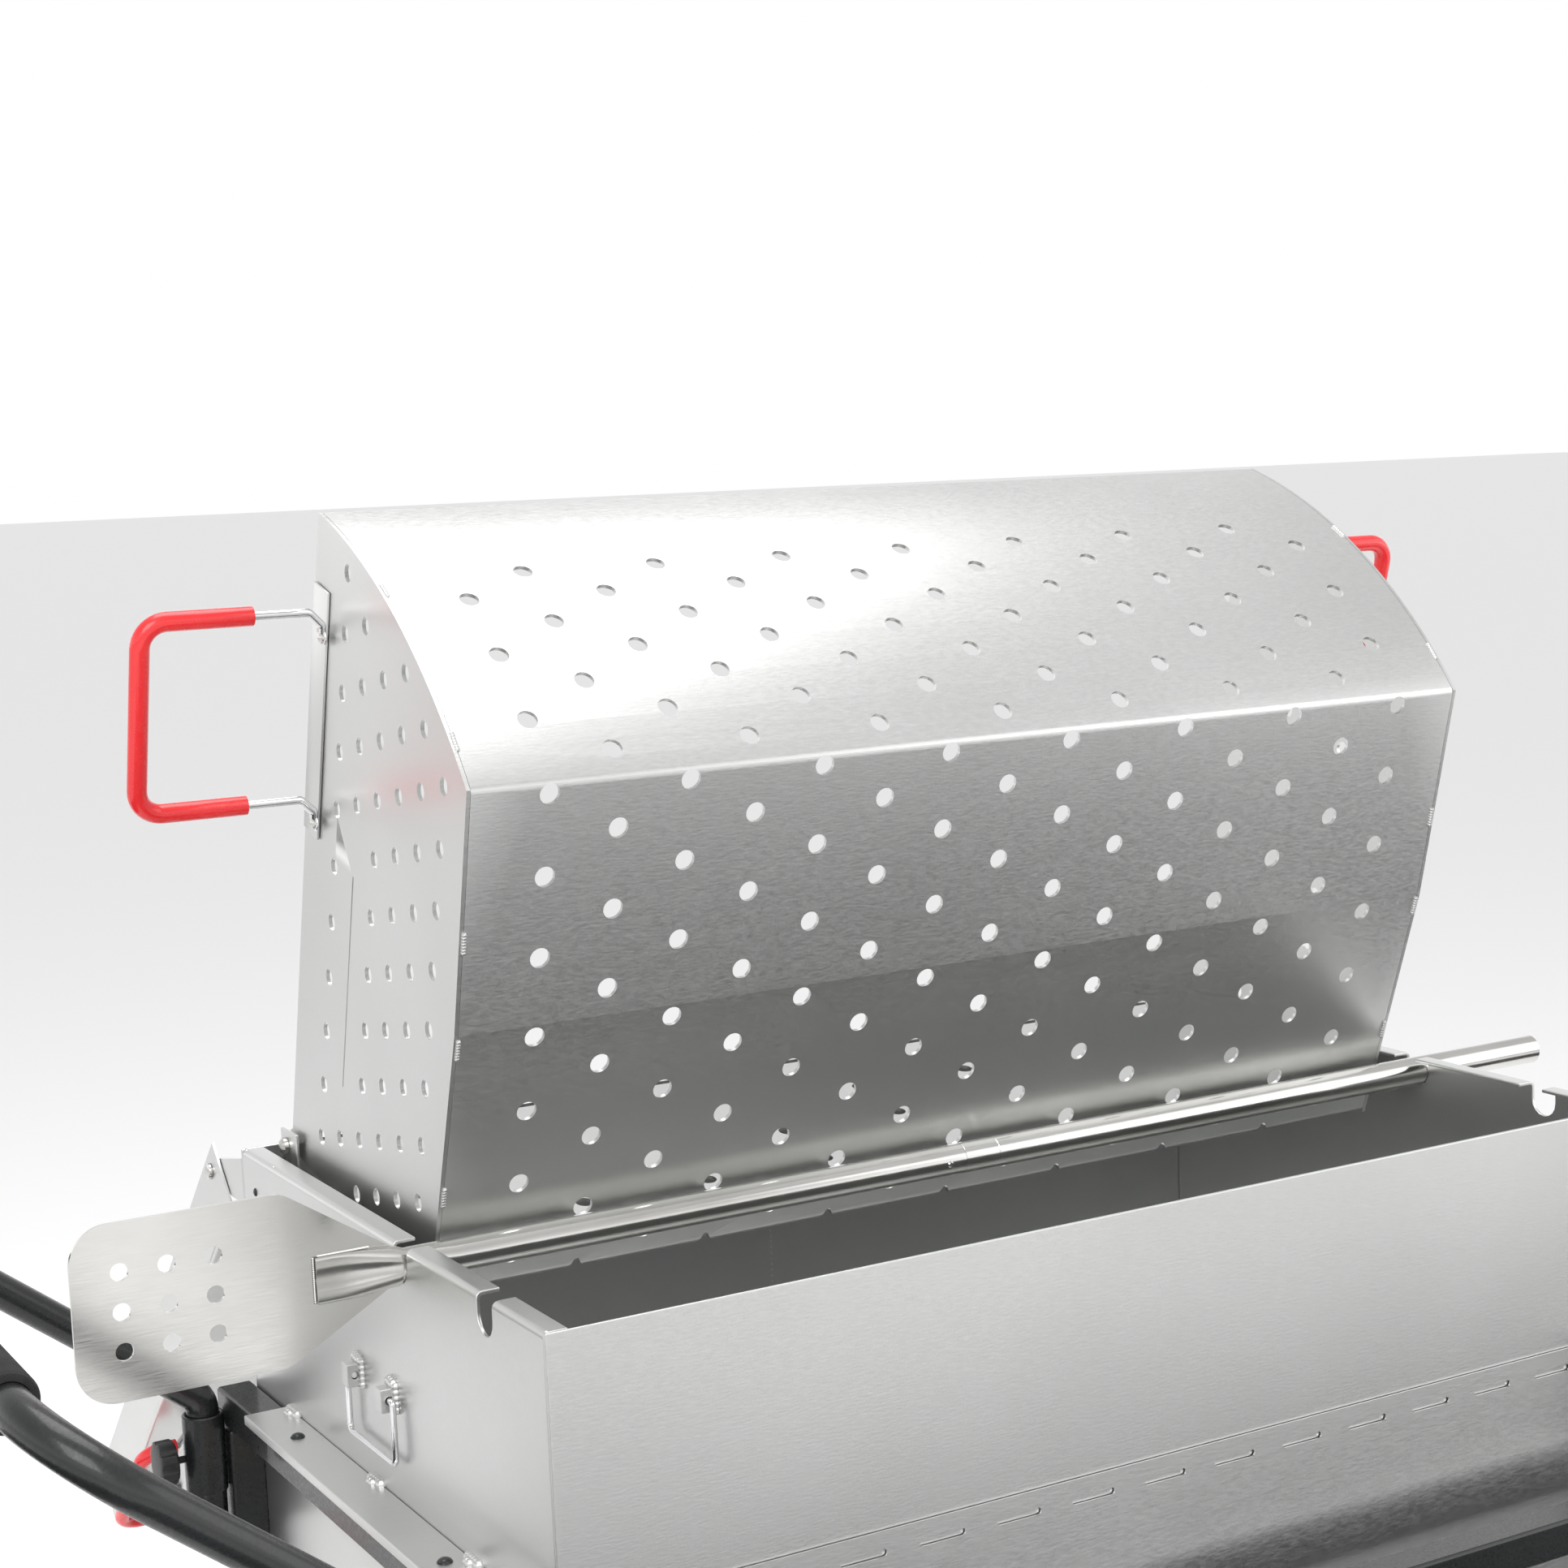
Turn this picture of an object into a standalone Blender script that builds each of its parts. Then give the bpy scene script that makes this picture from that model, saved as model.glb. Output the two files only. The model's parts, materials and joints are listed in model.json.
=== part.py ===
"""Trough boiler on a trolley, with a perforated basket tipped up on a stir paddle."""
import math

import bmesh
import bpy
from mathutils import Matrix, Vector

# All sizes are in metres. Until the last step, X = 0 is the middle of the tank, Y = 0 is the
# rear rim of the tipped basket, Z = 0 is the tank's rim, and the front of the boiler is at -Y.
GAP = 0.0003                    # left between neighbours that touch
RIM_HEIGHT = 0.840              # tank rim above the floor

# Tank
TANK_LENGTH = 0.970
TANK_FRONT = -0.578
TANK_REAR = 0.027
TANK_DEPTH = 0.350
TANK_WALL = 0.003
FLANGE_WIDTH = 0.018
FLANGE_CORNER = 0.005

# Basket, measured with its rim level and from its rear rim corner
BASKET_ROOM = 0.035              # end plate to the tank's outer face, at each end
BASKET_WALL = 0.003
BASKET_RIM = 0.546              # forward to the front rim
BASKET_FOLD = 0.438             # forward to the front fold
BASKET_DEPTH = 0.302            # down to the front fold
FLOOR_BEND = 0.253
FLOOR_BEND_DEPTH = 0.308
REAR_FOLD = 0.033
REAR_FOLD_DEPTH = 0.295
FRONT_ARC_RADIUS = 0.521
BASKET_TIP_DEG = 73.2           # how far the basket stands tipped up
SEATED_RIM_RISE = 0.010         # basket rim above the tank rim once it is lowered
LUG_RADIUS = 0.013
PIVOT_BOLT = 0.004
NUT_ROOM = 0.0078               # cut-out of the wrap round the pivot's nut
BRACKET_THICKNESS = 0.003
BRACKET_CLEARANCE = 0.0035      # basket side to its pivot bracket

# Perforations
HOLE_RADIUS = 0.0085            # to a corner; the round hole has the same area
HOLE_SIDES = 4
WRAP_PITCH = 0.1106
WRAP_ROW = 0.031
WRAP_FIRST_ROW = 0.0085         # front fold to the first row below it
ARC_ROWS = 7
SIDE_HOLE_RADIUS = 0.0078
SIDE_ROW = 0.0473
SIDE_COLUMN = 0.0395
SIDE_SHEAR = 0.0193
SIDE_COLUMNS = 6
SIDE_FIRST_DEPTH = 0.263
SIDE_FIRST_BACK = 0.426
SIDE_MARGIN = 0.0145
MARK_START = 0.090              # blank stretch for the level mark, along the rim
MARK_END = 0.310

# Basket handles
HANDLE_REAR_LEG = 0.327
HANDLE_SPAN = 0.152
HANDLE_REACH = 0.146
HANDLE_WIRE = 0.0035
HANDLE_CORNER = 0.020
HANDLE_CRANK = 0.022            # last part of a leg, cranked back to its screw
GRIP_WALL = 0.0040
GRIP_LEG = 0.085
STRIP_THICKNESS = 0.0025

# Stir paddle
PADDLE_TUBE = 0.0125
PADDLE_TUBE_WALL = 0.0012
TUBE_PAST = 0.133               # right end of the tube past the tank
TUBE_SHORT = 0.007              # left end of the round tube inside the tank's end
TUBE_JOINT_X = 0.010
COLLAR_LENGTH = 0.032
SPIGOT_LENGTH = 0.040
SPIGOT_PLAY = 0.0003
NOTCH_SPACE = 0.0010            # notch wider than the tube
NOTCH_SPARE = 0.0025            # notch deeper than the tube
BLADE_PAST = 0.235              # tank to the blade's far edge
SHOULDER_PAST = 0.085
BLADE_TOP = 0.052
BLADE_BOTTOM = -0.074
BLADE_THICKNESS = 0.0025
BLADE_CORNER = 0.028
BLADE_HOLE = 0.0064
BLADE_HOLE_STEP = 0.033
BLADE_HOLE_RISE = 0.028
BLADE_HOLE_INSET = 0.034
TANG_PAST = 0.063
FLARE_PAST = 0.021
TANG_ROOT = 0.010               # flattened end's reach back into the round tube
TANG_SLIM = 0.0005               # how much flatter than the tube it passes the notch
TANG_WIDER = 0.0045
TANG_THICKNESS = 0.0036
TANG_CORNER = 0.006

# Lid
LID_LENGTH = 0.600              # hinge line to the front edge
LID_SKIRT = 0.062
LID_WALL = 0.002
LID_CLEARANCE = 0.0006
LID_CORNER = 0.006
LID_PIVOT_BACK = 0.080          # tank rear wall to the lid's hinge line
LID_PIVOT_DROP = 0.035
LID_PIVOT_INSET = 0.013         # skirt's free edge to the hinge line
LID_PIVOT_END = 0.025           # lid's rear edge to the hinge line
LID_HANG_DEG = 43.5             # below the horizontal, behind the tank
LID_BOLT = 0.003
LID_EAR = 0.011
LID_BRACKET_TOP = -0.008
LID_BRACKET_BOTTOM = -0.048
LID_HANDLE_FRONT = 0.059        # lid's front edge to the front leg
LID_HANDLE_LIFT = 0.018
LID_HANDLE_FOOT = 0.018
LID_HANDLE_REACH = 0.068
LID_HANDLE_PROUD = 0.011        # grip past the lid's end
LID_GRIP_LEG = 0.030

# Ledges, frame and trolley
LEDGE_DROP = 0.198
LEDGE_PAST = 0.0067              # ledge past its rail
LEDGE_THICKNESS = 0.003
LEDGE_INSET = 0.079             # ledge end to the tank's front or rear wall
LEDGE_LIP = 0.008
FRAME_TUBE = 0.030              # square tube, outside
FRAME_BEHIND = 0.014            # frame past the tank at the rear
FRAME_AHEAD = 0.077             # and at the front
MID_RAIL_DROP = 0.288
RAIL_ROOM = 0.003               # tank floor to the rear mid rail
TRAY_DROP = 0.560
TRAY_LIP = 0.025
TRAY_SHEET = 0.002
PANEL_TOP = -0.187
PANEL_BOTTOM = -0.470
PANEL_SHEET = 0.0015
SLOT_LENGTH = 0.038
SLOT_PITCH = 0.0645
SLOT_HEIGHT = 0.0055
SLOT_DROP = 0.013
PANEL_SPACE = 0.0010
FOOT_HEIGHT = 0.025
FOOT_SPREAD = 0.004
WHEEL_RADIUS = 0.127
WHEEL_WIDTH = 0.045
TYRE_DEPTH = 0.032
WHEEL_GAP = 0.006               # post to the wheel's hub
AXLE_RADIUS = 0.008
RUNNING = 0.0006                # clearance round what turns
HUB_RADIUS = 0.024
WEB_HALF = 0.010
AXLE_POST_END = 0.022           # axle down to the end of its post
AXLE_END = 0.008                # axle past the wheel

# Push handle
ARM_RADIUS = 0.0135
ARM_SLOPE_DEG = 38.0
ARM_REACH = 0.284               # sleeve to crossbar, measured level
ARM_RISE = 0.012                # sleeve top to the arm's corner
ARM_BEND = 0.020
ARM_TAIL = 0.095                # arm's end below the sleeve top
CROSSBAR_BEND = 0.075
SLEEVE_WALL = 0.0038
SLEEVE_TOP = -0.216
SLEEVE_LENGTH = 0.066
SLEEVE_FOOT = 0.034
SLEEVE_FOOT_WALL = 0.0022
FOAM_WALL = 0.0060
FOAM_LENGTH = 0.500
KNOB_RADIUS = 0.028
KNOB_LENGTH = 0.020
KNOB_STUD = 0.003
KNOB_NECK = 0.008
KNOB_DROP = 0.036

# Side bails
BAIL_REAR_Y = -0.231
BAIL_SPAN = 0.069
BAIL_DROP = 0.120
BAIL_LENGTH = 0.047
BAIL_WIRE = 0.0024
BAIL_CORNER = 0.006
CLIP_WIDTH = 0.012
CLIP_DEPTH = 0.013
CLIP_HEIGHT = 0.018

# Gas and drain
BURNER_Y = -0.285
BURNER_LENGTH = 0.640
BURNER_RADIUS = 0.020
BURNER_LEG = 0.055
BURNER_NECK = 0.012
TAP_X = 0.220
MANIFOLD_INSET = 0.055          # frame's front to the gas tap
PIPE_RADIUS = 0.0085
INLET_LENGTH = 0.060
GAS_KNOB_RADIUS = 0.021
GAS_KNOB_LENGTH = 0.022
GAS_VALVE = 0.024
DRAIN_Y = -0.200
DRAIN_RISE = 0.032              # tank floor to the drain's middle
DRAIN_RADIUS = 0.0125
VALVE_RADIUS = 0.020
VALVE_OUT = 0.055               # tank wall to the valve's stem
VALVE_HALF = 0.016
DRAIN_MOUTH = 0.012
DRAIN_WALL = 0.003
STEM_RADIUS = 0.005
STEM_HEIGHT = 0.017
LEVER_LENGTH = 0.110
LEVER_WIDTH = 0.018
LEVER_THICKNESS = 0.0025
LEVER_GRIP = 0.080
LEVER_GRIP_WALL = 0.002

HALF_TANK = TANK_LENGTH / 2
HALF_BASKET = HALF_TANK - BASKET_ROOM
BASKET_LENGTH = 2 * HALF_BASKET
NOTCH_WIDTH = 2 * PADDLE_TUBE + NOTCH_SPACE
NOTCH_DEPTH = 2 * PADDLE_TUBE + NOTCH_SPARE
SPIGOT_RADIUS = PADDLE_TUBE - PADDLE_TUBE_WALL - SPIGOT_PLAY
GRIP_RADIUS = HANDLE_WIRE + GRIP_WALL
TANG_NECK = PADDLE_TUBE - TANG_SLIM
TANG_HALF = PADDLE_TUBE + TANG_WIDER
TUBE_RIGHT_END = HALF_TANK + TUBE_PAST
TUBE_LEFT_END = HALF_TANK - TUBE_SHORT
BLADE_TIP = HALF_TANK + BLADE_PAST
BLADE_SHOULDER = HALF_TANK + SHOULDER_PAST
TANG_TIP = HALF_TANK + TANG_PAST
TANG_FLARE = HALF_TANK + FLARE_PAST
LEDGE_WIDTH = GAP + FRAME_TUBE + LEDGE_PAST
LEDGE_REAR = TANK_REAR - LEDGE_INSET
LEDGE_FRONT = TANK_FRONT + LEDGE_INSET
FRAME_REAR = TANK_REAR + FRAME_BEHIND
FRAME_FRONT = TANK_FRONT - FRAME_AHEAD
SLEEVE_RADIUS = ARM_RADIUS + SLEEVE_WALL
SLEEVE_FOOT_RADIUS = ARM_RADIUS + SLEEVE_FOOT_WALL
FOAM_RADIUS = ARM_RADIUS + FOAM_WALL
MANIFOLD_Y = FRAME_FRONT + MANIFOLD_INSET
DRAIN_DROP = TANK_DEPTH - DRAIN_RISE
RAIL_X = HALF_TANK + GAP + FRAME_TUBE / 2
REAR_POST_Y = FRAME_REAR - FRAME_TUBE / 2
FRONT_POST_Y = FRAME_FRONT + FRAME_TUBE / 2
RAIL_TOP = -LEDGE_DROP - LEDGE_THICKNESS - GAP
TIP = math.radians(BASKET_TIP_DEG)
NOTCHES = (-HANDLE_REAR_LEG, -HANDLE_REAR_LEG - HANDLE_SPAN)
SIDES = (("left", -1), ("right", 1))
ENDS = (("rear", 1, REAR_POST_Y), ("front", -1, FRONT_POST_Y))

FINISHES = {
    "aluminium": ((0.78, 0.79, 0.80), 1.0, 0.32),
    "stainless": ((0.70, 0.69, 0.67), 1.0, 0.22),
    "chrome": ((0.80, 0.80, 0.80), 1.0, 0.08),
    "black_frame": ((0.012, 0.013, 0.014), 0.0, 0.35),
    "red_vinyl": ((0.85, 0.04, 0.04), 0.0, 0.35),
    "black_foam": ((0.02, 0.02, 0.02), 0.0, 0.85),
    "rubber": ((0.025, 0.025, 0.025), 0.0, 0.70),
    "black_plastic": ((0.02, 0.02, 0.02), 0.0, 0.40),
    "brass": ((0.78, 0.60, 0.28), 1.0, 0.30),
    "cast_iron": ((0.05, 0.05, 0.05), 0.6, 0.65),
}


# ---------------------------------------------------------------- scene
def clear_scene():
    for thing in list(bpy.data.objects):
        bpy.data.objects.remove(thing, do_unlink=True)


def make_collection(name):
    group = bpy.data.collections.new(name)
    bpy.context.scene.collection.children.link(group)
    return group


def make_finish(name):
    colour, metallic, roughness = FINISHES[name]
    finish = bpy.data.materials.new(name)
    finish.use_nodes = True
    shader = finish.node_tree.nodes["Principled BSDF"]
    shader.inputs["Base Color"].default_value = (*colour, 1.0)
    shader.inputs["Metallic"].default_value = metallic
    shader.inputs["Roughness"].default_value = roughness
    return finish


clear_scene()
parts = make_collection("trough_boiler")
cutters = make_collection("cutters")
finishes = {name: make_finish(name) for name in FINISHES}


def add_pivot(name, location, parent=None, turn=0.0):
    """An empty that moving pieces hang on, turned about the X axis."""
    empty = bpy.data.objects.new(name, None)
    parts.objects.link(empty)
    empty.parent = parent
    empty.location = location
    empty.rotation_euler = (turn, 0.0, 0.0)
    return empty


boiler = add_pivot("boiler", (0.0, 0.0, 0.0))


# ---------------------------------------------------------------- solids
def add_object(name, data, finish, parent, place=None):
    data.materials.append(finishes[finish])
    thing = bpy.data.objects.new(name, data)
    parts.objects.link(thing)
    thing.parent = parent
    if place is not None:
        thing.matrix_local = place
    return thing


def add_shape(name, shape, finish, parent=boiler, smooth=True):
    """Puts a finished bmesh into a named object."""
    mesh = bpy.data.meshes.new(name)
    bmesh.ops.recalc_face_normals(shape, faces=shape.faces)
    shape.to_mesh(mesh)
    shape.free()
    if smooth:
        mesh.shade_smooth()
        mesh.set_sharp_from_angle(angle=math.radians(35))
    return add_object(name, mesh, finish, parent)


def as_cutter(thing):
    parts.objects.unlink(thing)
    cutters.objects.link(thing)
    thing.hide_render = True
    thing.display_type = "WIRE"
    return thing


def cut(thing, *tools):
    for tool in tools:
        modifier = thing.modifiers.new("cut", "BOOLEAN")
        modifier.operation = "DIFFERENCE"
        modifier.solver = "EXACT"
        modifier.object = tool
    return thing


def join(thing, *others):
    for other in others:
        modifier = thing.modifiers.new("join", "BOOLEAN")
        modifier.operation = "UNION"
        modifier.solver = "EXACT"
        modifier.object = as_cutter(other)
    return thing


def along(origin, towards):
    """A frame at a point, whose Z axis points one way."""
    return Matrix.Translation(origin) @ Vector(towards).to_track_quat("Z", "Y").to_matrix().to_4x4()


def block_into(shape, low, high):
    size = [b - a for a, b in zip(low, high)]
    middle = [(a + b) / 2 for a, b in zip(low, high)]
    bmesh.ops.create_cube(shape, size=1.0, matrix=Matrix.Translation(middle) @ Matrix.Diagonal((*size, 1.0)))


def block(name, low, high, finish, parent=boiler, bevel=0.0):
    """A box between two corners, in any order."""
    shape = bmesh.new()
    block_into(shape, *zip(*[sorted(pair) for pair in zip(low, high)]))
    thing = add_shape(name, shape, finish, parent, smooth=False)
    if bevel:
        edges = thing.modifiers.new("edges", "BEVEL")
        edges.width = bevel
        edges.segments = 1
    return thing


def rod_into(shape, start, end, radius, sides=12):
    run = Vector(end) - Vector(start)
    place = along((Vector(start) + Vector(end)) / 2, run)
    bmesh.ops.create_cone(shape, cap_ends=True, segments=sides, radius1=radius, radius2=radius,
                          depth=run.length, matrix=place)


def rods(name, runs, radius, finish, parent=boiler, sides=12):
    """Round bars between pairs of points, each a body of its own."""
    shape = bmesh.new()
    for start, end in runs:
        rod_into(shape, start, end, radius, sides)
    return add_shape(name, shape, finish, parent)


def turned(name, profile, place, finish, parent=boiler, sides=12, ring=False):
    """A solid of revolution: (radius, height) points spun about the Z axis of a frame."""
    shape = bmesh.new()
    knots = [shape.verts.new(place @ Vector((radius, 0.0, height))) for radius, height in profile]
    pairs = list(zip(knots, knots[1:])) + ([(knots[-1], knots[0])] if ring else [])
    edges = [shape.edges.new(pair) for pair in pairs]
    bmesh.ops.spin(shape, geom=knots + edges, cent=place.translation, steps=sides,
                   axis=place.to_3x3() @ Vector((0.0, 0.0, 1.0)), angle=math.tau, use_merge=True)
    bmesh.ops.remove_doubles(shape, verts=shape.verts, dist=0.00001)
    return add_shape(name, shape, finish, parent)


def rounded(points, radii, steps=4):
    """The same path with its inner corners turned into arcs; a single radius does for all."""
    points = [Vector((*point, 0.0)[:3]) for point in points]
    if not isinstance(radii, (list, tuple)):
        radii = [radii] * (len(points) - 2)
    path = [points[0]]
    for before, corner, after, radius in zip(points, points[1:], points[2:], radii):
        come = (before - corner).normalized()
        leave = (after - corner).normalized()
        half = come.angle(leave) / 2
        centre = corner + (come + leave).normalized() * radius / math.sin(half)
        first = corner + come * radius / math.tan(half) - centre
        last = corner + leave * radius / math.tan(half) - centre
        sweep = first.angle(last)
        for step in range(steps + 1):
            share = step / steps
            spoke = first * math.sin((1 - share) * sweep) + last * math.sin(share * sweep)
            path.append(centre + spoke / math.sin(sweep))
    return path + [points[-1]]


def bar(name, path, radius, finish, parent=boiler, resolution=2):
    """A round bar along a path, with closed ends."""
    curve = bpy.data.curves.new(name, "CURVE")
    curve.dimensions = "3D"
    curve.bevel_depth = radius
    curve.bevel_resolution = resolution
    curve.use_fill_caps = True
    spline = curve.splines.new("POLY")
    spline.points.add(len(path) - 1)
    for knot, point in zip(spline.points, path):
        knot.co = (*point, 1.0)
    return to_mesh(add_object(name, curve, finish, parent))


def to_mesh(thing):
    """Replaces a curve object by a mesh with its loose faces welded on."""
    bpy.context.view_layer.update()
    ready = thing.evaluated_get(bpy.context.evaluated_depsgraph_get())
    mesh = bpy.data.meshes.new_from_object(ready)
    shape = bmesh.new()
    shape.from_mesh(mesh)
    bmesh.ops.remove_doubles(shape, verts=shape.verts, dist=0.00001)
    bmesh.ops.recalc_face_normals(shape, faces=shape.faces)
    shape.to_mesh(mesh)
    shape.free()
    name, parent, place = thing.name, thing.parent, thing.matrix_local.copy()
    bpy.data.objects.remove(thing, do_unlink=True)
    solid = bpy.data.objects.new(name, mesh)
    parts.objects.link(solid)
    solid.parent = parent
    solid.matrix_local = place
    return solid


def sleeve_on(name, path, outer, inner, finish, parent=boiler, resolution=2):
    """A soft tube pulled over a bar along the same path."""
    core = [path[0] + (path[0] - path[1]).normalized() * outer, *path[1:-1],
            path[-1] + (path[-1] - path[-2]).normalized() * outer]
    bore = as_cutter(bar(name + "_bore", core, inner, finish, parent, resolution))
    return cut(bar(name, path, outer, finish, parent, resolution), bore)


def flat_sheet(name, outline, thickness, place, finish, parent=boiler, holes=()):
    """A flat plate drawn in its own XY plane, with its holes, put in place by a frame."""
    curve = bpy.data.curves.new(name, "CURVE")
    curve.dimensions = "2D"
    curve.fill_mode = "BOTH"
    curve.extrude = thickness / 2
    for loop in (outline, *holes):
        spline = curve.splines.new("POLY")
        spline.points.add(len(loop) - 1)
        for knot, point in zip(spline.points, loop):
            knot.co = (point[0], point[1], 0.0, 1.0)
        spline.use_cyclic_u = True
    return to_mesh(add_object(name, curve, finish, parent, place))


def across(x):
    """The frame of a sheet that lies across the boiler: its X is Y and its Y is Z."""
    return Matrix(((0, 0, 1, x), (1, 0, 0, 0), (0, 1, 0, 0), (0, 0, 0, 1)))


def facing(y):
    """The frame of a sheet that faces the front: its X is X and its Y is Z."""
    return Matrix(((1, 0, 0, 0), (0, 0, -1, y), (0, 1, 0, 0), (0, 0, 0, 1)))


def loop(centre, radius, sides=12):
    return [(centre[0] + radius * math.cos(math.tau * k / sides),
             centre[1] + radius * math.sin(math.tau * k / sides)) for k in range(sides)]


def rectangle(low, high):
    return [(low[0], low[1]), (high[0], low[1]), (high[0], high[1]), (low[0], high[1])]


def bent_sheet(name, profile, run, thickness, finish, parent=boiler, axis="X", wall=1):
    """A folded sheet: a profile in the two other axes, drawn out along an axis."""
    shape = bmesh.new()
    at = "XYZ".index(axis)
    knots = []
    for point in profile:
        spot = [point[0], point[1]]
        spot.insert(at, run[0])
        knots.append(shape.verts.new(spot))
    edges = [shape.edges.new(pair) for pair in zip(knots, knots[1:])]
    drawn = bmesh.ops.extrude_edge_only(shape, edges=edges)["geom"]
    step = [0.0, 0.0, 0.0]
    step[at] = run[1] - run[0]
    moved = [item for item in drawn if isinstance(item, bmesh.types.BMVert)]
    bmesh.ops.translate(shape, verts=moved, vec=step)
    mesh = bpy.data.meshes.new(name)
    shape.to_mesh(mesh)
    shape.free()
    thing = add_object(name, mesh, finish, parent)
    shell = thing.modifiers.new("wall", "SOLIDIFY")
    shell.thickness = thickness
    shell.offset = wall
    shell.use_even_offset = True
    return thing


# ---------------------------------------------------------------- basket geometry
def find_pivot():
    """The pivot about which tipping lifts the rear rim corner from its seated place to zero."""
    half_rise = SEATED_RIM_RISE / 2
    return Vector((0.0, -half_rise / math.tan(TIP / 2), half_rise))


PIVOT = find_pivot()
# The rear rim corner from the pivot, in the basket's own frame, where its rim is level.
CORNER = Vector((-PIVOT.y, SEATED_RIM_RISE - PIVOT.z))


def from_corner(forward, down):
    return Vector((CORNER.x - forward, CORNER.y - down))


def front_arc(steps=6):
    """The curved front, from its rim down to the front fold."""
    rim, fold = from_corner(BASKET_RIM, 0.0), from_corner(BASKET_FOLD, BASKET_DEPTH)
    chord = fold - rim
    inward = Vector((-chord.y, chord.x)).normalized()
    centre = (rim + fold) / 2 + inward * math.sqrt(FRONT_ARC_RADIUS ** 2 - chord.length_squared / 4)
    first = math.atan2(rim.y - centre.y, rim.x - centre.x) % math.tau
    last = math.atan2(fold.y - centre.y, fold.x - centre.x) % math.tau
    angles = [first + (last - first) * step / steps for step in range(steps + 1)]
    return [centre + Vector((math.cos(angle), math.sin(angle))) * FRONT_ARC_RADIUS for angle in angles]


def basket_profile():
    return front_arc() + [from_corner(FLOOR_BEND, FLOOR_BEND_DEPTH),
                          from_corner(REAR_FOLD, REAR_FOLD_DEPTH), from_corner(0.0, 0.0)]


def length_of(points):
    return sum((b - a).length for a, b in zip(points, points[1:]))


def place_on(profile, distance):
    """The point and the inward normal at a distance along a profile."""
    for a, b in zip(profile, profile[1:]):
        length = (b - a).length
        if distance <= length:
            run = (b - a) / length
            return a + run * distance, Vector((-run.y, run.x))
        distance -= length
    raise ValueError("past the profile's end")


def wrap_rows():
    """Distance of each hole row along the wrap, and whether it is one of the long rows."""
    first = length_of(front_arc()) + WRAP_FIRST_ROW - ARC_ROWS * WRAP_ROW
    room = length_of(basket_profile()) - WRAP_ROW - 2 * HOLE_RADIUS - first
    return [(first + k * WRAP_ROW, (k - ARC_ROWS) % 2 == 0) for k in range(int(room / WRAP_ROW) + 1)]


def row_places(is_long):
    """X of each hole in a row, centred on the basket."""
    count = int((BASKET_LENGTH - WRAP_PITCH) / WRAP_PITCH) + (1 if is_long else 0)
    return [(k - (count - 1) / 2) * WRAP_PITCH for k in range(count)]


def on_circle(a, b, radius):
    """Where the line from a to b crosses a circle round the pivot, nearer to b."""
    run = b - a
    slope = a.dot(run) / run.length_squared
    share = -slope + math.sqrt(slope ** 2 - (a.length_squared - radius ** 2) / run.length_squared)
    return a + run * share


def side_outline():
    """The end plate's outline: the wrap's own, with a round lug at the pivot."""
    path = basket_profile()
    rear = on_circle(path[-1], path[-2], LUG_RADIUS)
    rim = on_circle(path[-1], path[0], LUG_RADIUS)
    start, stop = math.atan2(rear.y, rear.x), math.atan2(rim.y, rim.x)
    lug = [Vector((math.cos(angle), math.sin(angle))) * LUG_RADIUS
           for angle in (start + (stop - start) * step / 8 for step in range(9))]
    return path[:-1] + lug


def room_in(point, outline):
    """How far inside a closed outline a point is, or a negative number outside it."""
    odd, nearest = False, math.inf
    for a, b in zip(outline, outline[1:] + outline[:1]):
        if (a.y > point.y) != (b.y > point.y):
            odd ^= point.x < (b.x - a.x) * (point.y - a.y) / (b.y - a.y) + a.x
        share = max(0.0, min(1.0, (point - a).dot(b - a) / (b - a).length_squared))
        nearest = min(nearest, (point - a - (b - a) * share).length)
    return nearest if odd else -nearest


def side_hole_places(outline):
    """A sheared grid that leaves the edges, the pivot and the level mark blank."""
    places = []
    for column in range(SIDE_COLUMNS):
        down = SIDE_FIRST_DEPTH - column * SIDE_COLUMN
        for row in range(-SIDE_COLUMNS, int(BASKET_RIM / SIDE_ROW) + 1):
            forward = SIDE_FIRST_BACK - column * SIDE_SHEAR - row * SIDE_ROW
            spot = from_corner(forward, down)
            marked = column == SIDE_COLUMNS - 2 and MARK_START < forward < MARK_END
            if room_in(spot, outline) > SIDE_MARGIN and not marked and spot.length > 2 * LUG_RADIUS:
                places.append(spot)
    return places


# ---------------------------------------------------------------- basket
def add_basket():
    basket = add_pivot("basket_tilt", PIVOT, boiler, turn=-TIP)
    profile = basket_profile()
    inner = HALF_BASKET - BASKET_WALL - GAP
    wrap = bent_sheet("basket_wrap", profile, (-inner, inner), BASKET_WALL, "aluminium", basket, wall=1)
    drills = bmesh.new()
    for distance, is_long in wrap_rows():
        point, normal = place_on(profile, distance)
        reach = Vector((0.0, *normal)) * 3 * BASKET_WALL
        for x in row_places(is_long):
            spot = Vector((x, *point))
            rod_into(drills, spot - reach, spot + reach, HOLE_RADIUS, HOLE_SIDES)
    for label, side in SIDES:
        rod_into(drills, (side * HALF_BASKET, 0.0, 0.0), (side * (inner - NUT_ROOM), 0.0, 0.0), NUT_ROOM)
    cut(wrap, as_cutter(add_shape("wrap_drills", drills, "aluminium", basket)))
    outline = side_outline()
    holes = [loop(spot, SIDE_HOLE_RADIUS, HOLE_SIDES) for spot in side_hole_places(outline)]
    holes.append(loop((0.0, 0.0), PIVOT_BOLT + RUNNING))
    for label, side in SIDES:
        middle = side * (HALF_BASKET - BASKET_WALL / 2)
        flat_sheet("basket_side_" + label, outline, BASKET_WALL, across(middle), "aluminium", basket, holes)
        add_basket_handle(label, side, basket)


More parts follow.
